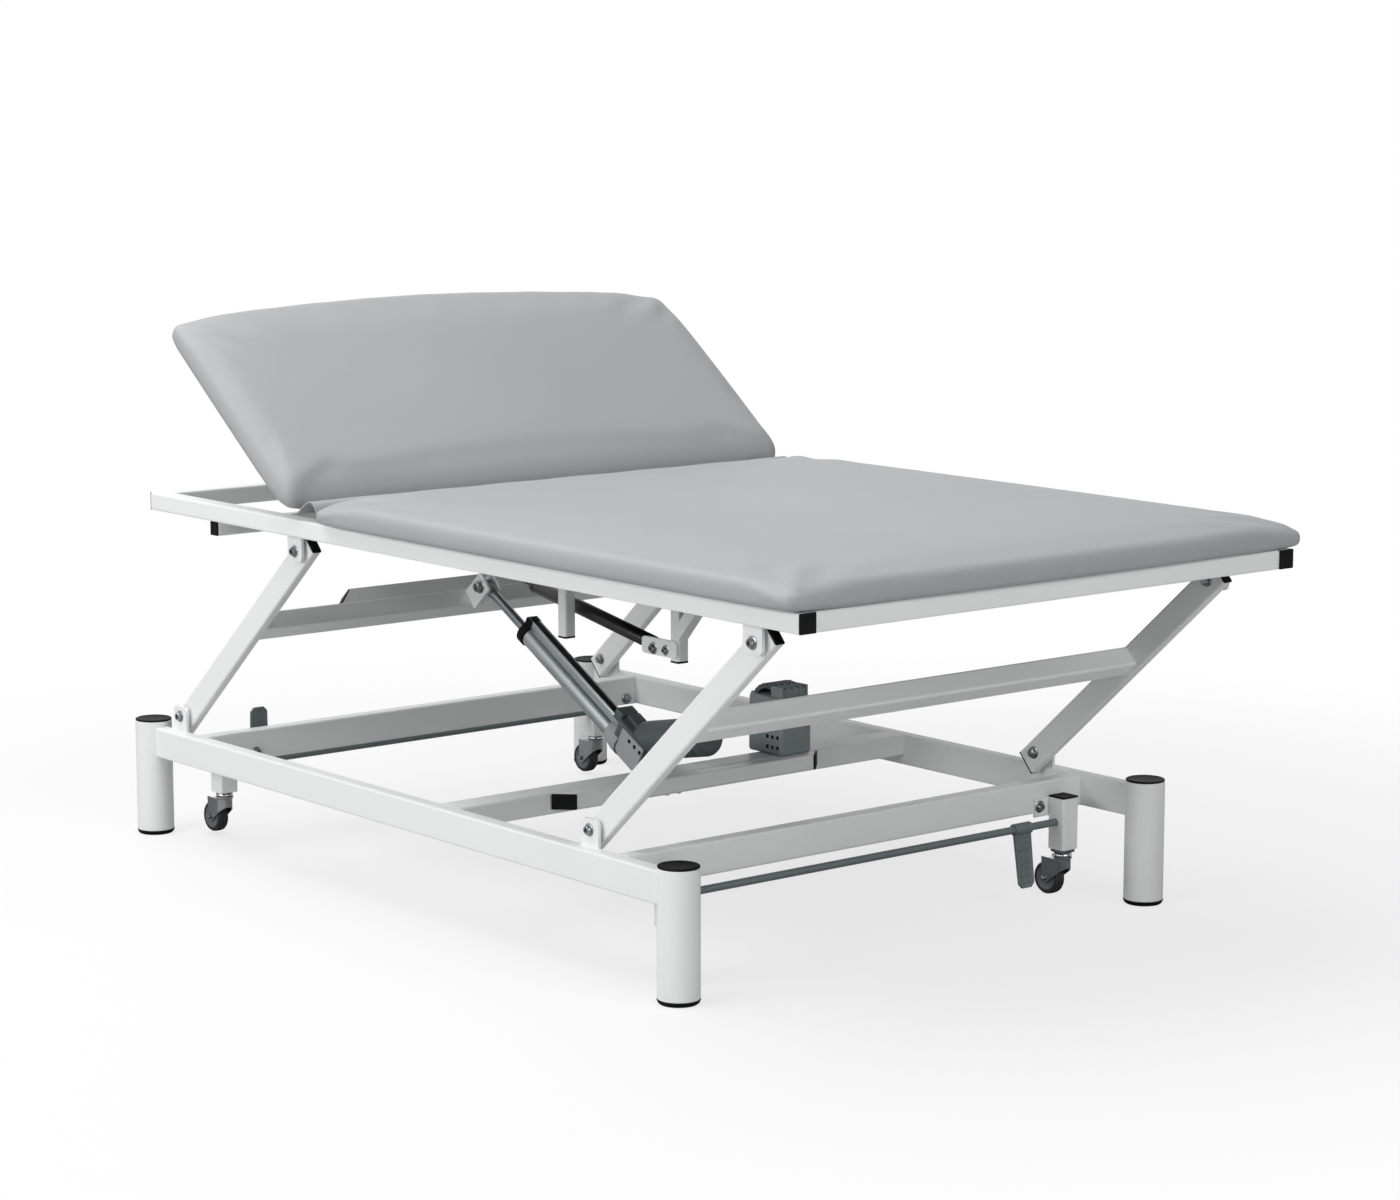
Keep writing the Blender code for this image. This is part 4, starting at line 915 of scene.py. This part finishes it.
# %% Dust cloth
felt = Finish("spunbond_dust_cloth", 0.85)
fibres = felt.noise(4, 5.0)
felt.tint(fibres, "17181a", "25272a")
felt.relief(fibres, 0.3, 0.0006)
dust_cloth = felt.material
print(dust_cloth.name, len(felt.tree.nodes), "nodes")

# %% Mesh helpers
def settled(obj):
    """The mesh of an object as its modifiers leave it."""
    return bpy.data.meshes.new_from_object(obj.evaluated_get(bpy.context.evaluated_depsgraph_get()))


def span(points):
    return [Vector([pick(p[k] for p in points) for k in range(3)]) for pick in (min, max)]


def ease(mesh, times):
    bm = bmesh.new()
    bm.from_mesh(mesh)
    for step in range(times):
        bmesh.ops.smooth_vert(bm, verts=bm.verts, factor=0.5, use_axis_x=True, use_axis_y=True,
                              use_axis_z=True)
    bm.to_mesh(mesh)
    bm.free()


# %% Rolled edges
CORNER_SPAN = 0.23
CORNER_ROLL = 0.07
CORNER_DROP = 0.02
EDGE_WAIST = 0.03
HINGE_WAIST = 0.01
CORNER_WAIST = 0.018
HINGE_WIDE = 0.05
END_BLEND = 0.16
OUTLINE_STEP = 0.002


def roll_edges(mesh, widths):
    """Round a pad's upper edge by widths at its two ends and its sides, and lower at its corners."""
    low, high = span([v.co for v in mesh.vertices])
    hull = [mesh.vertices[k].co.xy for k in geometry.convex_hull_2d([v.co.xy for v in mesh.vertices])]
    rim = []
    for here, there in zip(hull, hull[1:] + hull[:1]):
        parts = max(1, round((there - here).length / OUTLINE_STEP))
        rim += [here.lerp(there, k / parts) for k in range(parts)]
    outline = kdtree.KDTree(len(rim))
    for k, point in enumerate(rim):
        outline.insert(point.to_3d(), k)
    outline.balance()
    for vert in mesh.vertices:
        inside = outline.find((vert.co.x, vert.co.y, 0.0))[2]
        to_x = min(vert.co.x - low.x, high.x - vert.co.x)
        to_y = min(vert.co.y - low.y, high.y - vert.co.y)
        at_end = min(1.0, max(0.0, 0.5 + (to_y - to_x) / END_BLEND))
        at_end = at_end * at_end * (3 - 2 * at_end)
        end_wide = widths[0] if vert.co.x - low.x < high.x - vert.co.x else widths[1]
        at_hinge = end_wide > HINGE_WIDE
        end_deep = HINGE_WAIST if at_hinge else EDGE_WAIST
        corner = 0.0 if at_hinge else max(0.0, 1 - math.hypot(to_x, to_y) / CORNER_SPAN) ** 2
        wide = widths[2] + (end_wide - widths[2]) * at_end
        deep = EDGE_WAIST + (end_deep - EDGE_WAIST) * at_end
        wide += (CORNER_ROLL - wide) * corner
        waist = low.z + deep + (min(CORNER_WAIST, deep) - deep) * corner
        crown = high.z - CORNER_DROP * corner
        share = min(1.0, inside / wide)
        vert.co.z = min(vert.co.z, waist + (crown - waist) * math.sqrt(1 - (1 - share) ** 2))


# %% Swell
SWELL = 0.006
HELD_FULL = 1.3
HELD_OVER = 0.014
FRAMES = 20
CLOTH = {"quality": 4, "mass": 0.3, "tension_stiffness": 30, "compression_stiffness": 30,
         "shear_stiffness": 15, "bending_stiffness": 4, "use_pressure": True, "uniform_pressure_force": 4.0}


def blow_up(obj, mesh):
    """Fill a pad's mesh with pressure, its underside held, and keep a capped share of the movement."""
    start = [v.co.copy() for v in mesh.vertices]
    bottom = min(p.z for p in start)
    held = obj.vertex_groups.new(name="underside")
    for k, point in enumerate(start):
        held.add([k], min(1.0, max(0.0, HELD_FULL - (point.z - bottom) / HELD_OVER)), "REPLACE")
    cloth = obj.modifiers.new("cloth", "CLOTH")
    for key, value in CLOTH.items():
        setattr(cloth.settings, key, value)
    cloth.settings.vertex_group_mass = held.name
    cloth.settings.effector_weights.gravity = 0.0
    cloth.point_cache.frame_start = 1
    cloth.point_cache.frame_end = FRAMES
    for step in range(1, FRAMES + 1):
        scene.frame_set(step)
    blown = settled(obj)
    for k, vert in enumerate(mesh.vertices):
        step = blown.vertices[k].co - start[k]
        vert.co = start[k] + step * min(1.0, SWELL / max(step.length, 1e-9))
    bpy.data.meshes.remove(blown)
    scene.frame_set(1)
    obj.modifiers.clear()
    obj.vertex_groups.clear()


# %% Upholstery
VOXEL = 0.009
TURN_UNDER = 0.045


def upholster(name, node, place, body, widths):
    """Make a cushion from a copy of a pad's solid, in the pad's own upright place."""
    bm = bmesh.new()
    bm.from_mesh(frame["nodes"][node].data)
    bmesh.ops.remove_doubles(bm, verts=bm.verts, dist=1e-5)
    put(bm, place.inverted())
    low, high = span([v.co for v in bm.verts])
    centre = (low + high) / 2
    for vert in bm.verts:
        for k in (0, 1):
            vert.co[k] = centre[k] + (vert.co[k] - centre[k]) * (1 - 2 * SWELL / (high[k] - low[k]))
        vert.co.z = low.z + (vert.co.z - low.z) * (1 - SWELL / (high.z - low.z))
    obj = show(name, mesh_of(name, bm))
    squares = obj.modifiers.new("squares", "REMESH")
    squares.mode = "VOXEL"
    squares.voxel_size = VOXEL
    mesh = settled(obj)
    obj.modifiers.clear()
    obj.data = mesh
    roll_edges(mesh, widths)
    ease(mesh, 4)
    blow_up(obj, mesh)
    ease(mesh, 3)
    now_low, now_high = span([v.co for v in mesh.vertices])
    for vert in mesh.vertices:
        for k in range(3):
            part = (vert.co[k] - now_low[k]) / (now_high[k] - now_low[k])
            vert.co[k] = low[k] + part * (high[k] - low[k])
    mesh.materials.append(vinyl)
    mesh.materials.append(dust_cloth)
    for poly in mesh.polygons:
        inside = all(low[k] + TURN_UNDER < poly.center[k] < high[k] - TURN_UNDER for k in (0, 1))
        poly.material_index = 1 if inside and poly.normal.z < -0.9 else 0
    mesh.shade_smooth()
    mesh.transform(place)
    finer = obj.modifiers.new("finer", "SUBSURF")
    finer.levels = finer.render_levels = 1
    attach(obj, body)
    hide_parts(node)
    print(name, len(mesh.polygons), "faces")


BACKREST_ANGLE = 37.0
hinge = pivot["top_level"]
lean = Matrix.Translation(pivot["backrest_tilt"]) @ rotate(BACKREST_ANGLE, "Y")
upholster("seat_cushion", "seat_pad", Matrix.Translation(hinge), "top", (0.022, 0.034, 0.03))
upholster("backrest_cushion", "backrest_pad", lean, "backrest", (0.02, 0.066, 0.03))

# %% [markdown]
# ## Hinge flap
# A strip of the same vinyl closes the gap between the cushions, so nothing gets pinched at the hinge.
# It comes from under the backrest, stands up in one soft fold and drops into the seat's rolled edge.
# A line of points is drawn across the table, with a narrow hem at both ends and a faint ripple.

# %% Flap
WAVE = ((0.0605, 0.081), (0.069, 0.0856), (0.0785, 0.0935), (0.0895, 0.101),
        (0.103, 0.1085), (0.117, 0.105), (0.1265, 0.09), (0.1345, 0.0785), (0.1425, 0.07))
FLAP_HALF = 0.58
FLAP_INNER = 0.56
FLAP_STEPS = 28
FLAP_THICK = 0.0022
HEM = 0.01
HEM_STITCH = 0.002
RIPPLE = 0.0007
RIPPLES_PER_M = 37.0
bm = bmesh.new()
strip = chain(bm, [(x, -FLAP_HALF, z) for x, z in WAVE])
hems = [FLAP_HALF - HEM - HEM_STITCH, FLAP_HALF - HEM, FLAP_HALF]
stations = [-y for y in reversed(hems)]
stations += [-FLAP_INNER + 2 * FLAP_INNER * k / FLAP_STEPS for k in range(FLAP_STEPS + 1)] + hems
for here, there in zip(stations, stations[1:]):
    strip = pull(bm, strip, (0, there - here, 0))
outward(bm)
if sum(f.normal.z for f in bm.faces) < 0:
    bmesh.ops.reverse_faces(bm, faces=bm.faces)
(back_x, back_z), (seat_x, seat_z) = WAVE[0], WAVE[-1]
for vert in bm.verts:
    swell = math.sin(math.pi * (vert.co.x - back_x) / (seat_x - back_x))
    vert.co.z += RIPPLE * math.sin(vert.co.y * RIPPLES_PER_M) * swell
flap = show("hinge_cover", mesh_of("hinge_cover", put(bm, move(hinge.x, 0, hinge.z))))
smooth = flap.modifiers.new("smooth", "SUBSURF")
smooth.levels = smooth.render_levels = 2
skin = flap.modifiers.new("skin", "SOLIDIFY")
skin.thickness = FLAP_THICK
skin.offset = 0.0
mesh = settled(flap)
flap.modifiers.clear()
flap.data = mesh
mesh.materials.append(vinyl)
mesh.shade_smooth()
mesh.set_sharp_from_angle(angle=math.radians(50))
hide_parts("hinge_flap")
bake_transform(flap)

# %% [markdown]
# ## Studio
# The table stands in a white studio: a large soft lamp overhead, two weaker ones that fill the near
# side and the foot end, a pale surround and a pale floor. The surround is plain white where the
# camera or a reflection looks at it, and dimmer as a light source. The floor is part glow, so it is
# white in the picture and still takes the table's shadow.

# %% Studio
AMBIENT = 0.17
PURE_WHITE = (1, 1, 1, 1)
AIM = Vector((0.0, 0.0, 0.5))
LAMPS = (("overhead_softbox", (5.0, 4.0), 164.0, (-1.1, -1.0, 4.2)),
         ("near_fill", (4.0, 1.6), 114.0, (0.0, -5.2, 2.1)),
         ("foot_fill", (2.6, 1.6), 60.0, (4.8, -0.2, 1.8)))
world = bpy.data.worlds.new("studio")
scene.world = world
world.use_nodes = True
tree = world.node_tree
tree.nodes.clear()
path = add(tree, "ShaderNodeLightPath").outputs
seen = path["Is Camera Ray"]
for ray in ("Is Glossy Ray", "Is Transmission Ray"):
    seen = add(tree, "ShaderNodeMath", {0: seen, 1: path[ray]}, operation="MAXIMUM").outputs["Value"]
dim, plain = [add(tree, "ShaderNodeBackground", values={"Color": PURE_WHITE, "Strength": strength})
              for strength in (AMBIENT, 1.0)]
mixed = add(tree, "ShaderNodeMixShader", {0: seen, 1: dim.outputs["Background"],
                                          2: plain.outputs["Background"]})
add(tree, "ShaderNodeOutputWorld", {"Surface": mixed.outputs["Shader"]})
for name, size, energy, place in LAMPS:
    lamp = bpy.data.lights.new(name, "AREA")
    lamp.shape = "RECTANGLE"
    lamp.size, lamp.size_y = size
    lamp.energy = energy
    softbox = show(name, lamp)
    softbox.location = place
    softbox.rotation_euler = (AIM - softbox.location).to_track_quat("-Z", "Y").to_euler()
print("lamps:", len(LAMPS))

# %% Floor
FLOOR_HALF = 12.0
floor_paint = bpy.data.materials.new("white_studio_floor")
floor_paint.use_nodes = True
tree = floor_paint.node_tree
tree.nodes.clear()
path = add(tree, "ShaderNodeLightPath").outputs
shade = two_tone(tree, path["Is Camera Ray"], "c4c4c4", "f2f2f2")
matt = add(tree, "ShaderNodeBsdfDiffuse", {"Color": shade})
glow = add(tree, "ShaderNodeEmission", values={"Color": PURE_WHITE, "Strength": 1.0})
where = add(tree, "ShaderNodeTexCoord").outputs["Object"]
far = add(tree, "ShaderNodeVectorMath", {0: where}, operation="LENGTH")
fade = add(tree, "ShaderNodeMapRange", {"Value": far.outputs["Value"]},
           {"From Min": 1.2, "From Max": 2.8, "To Min": 0.72, "To Max": 1.0}, interpolation_type="SMOOTHSTEP")
share = add(tree, "ShaderNodeMath", {0: path["Is Camera Ray"], 1: fade.outputs["Result"]},
            operation="MULTIPLY")
blend = add(tree, "ShaderNodeMixShader", {0: share.outputs["Value"], 1: matt.outputs["BSDF"],
                                          2: glow.outputs["Emission"]})
add(tree, "ShaderNodeOutputMaterial", {"Surface": blend.outputs["Shader"]})
bm = bmesh.new()
bmesh.ops.create_grid(bm, x_segments=1, y_segments=1, size=FLOOR_HALF)
mesh = mesh_of("studio_floor", bm)
mesh.materials.append(floor_paint)
ground = show("studio_floor", mesh)
print("floor:", 2 * FLOOR_HALF, "m")
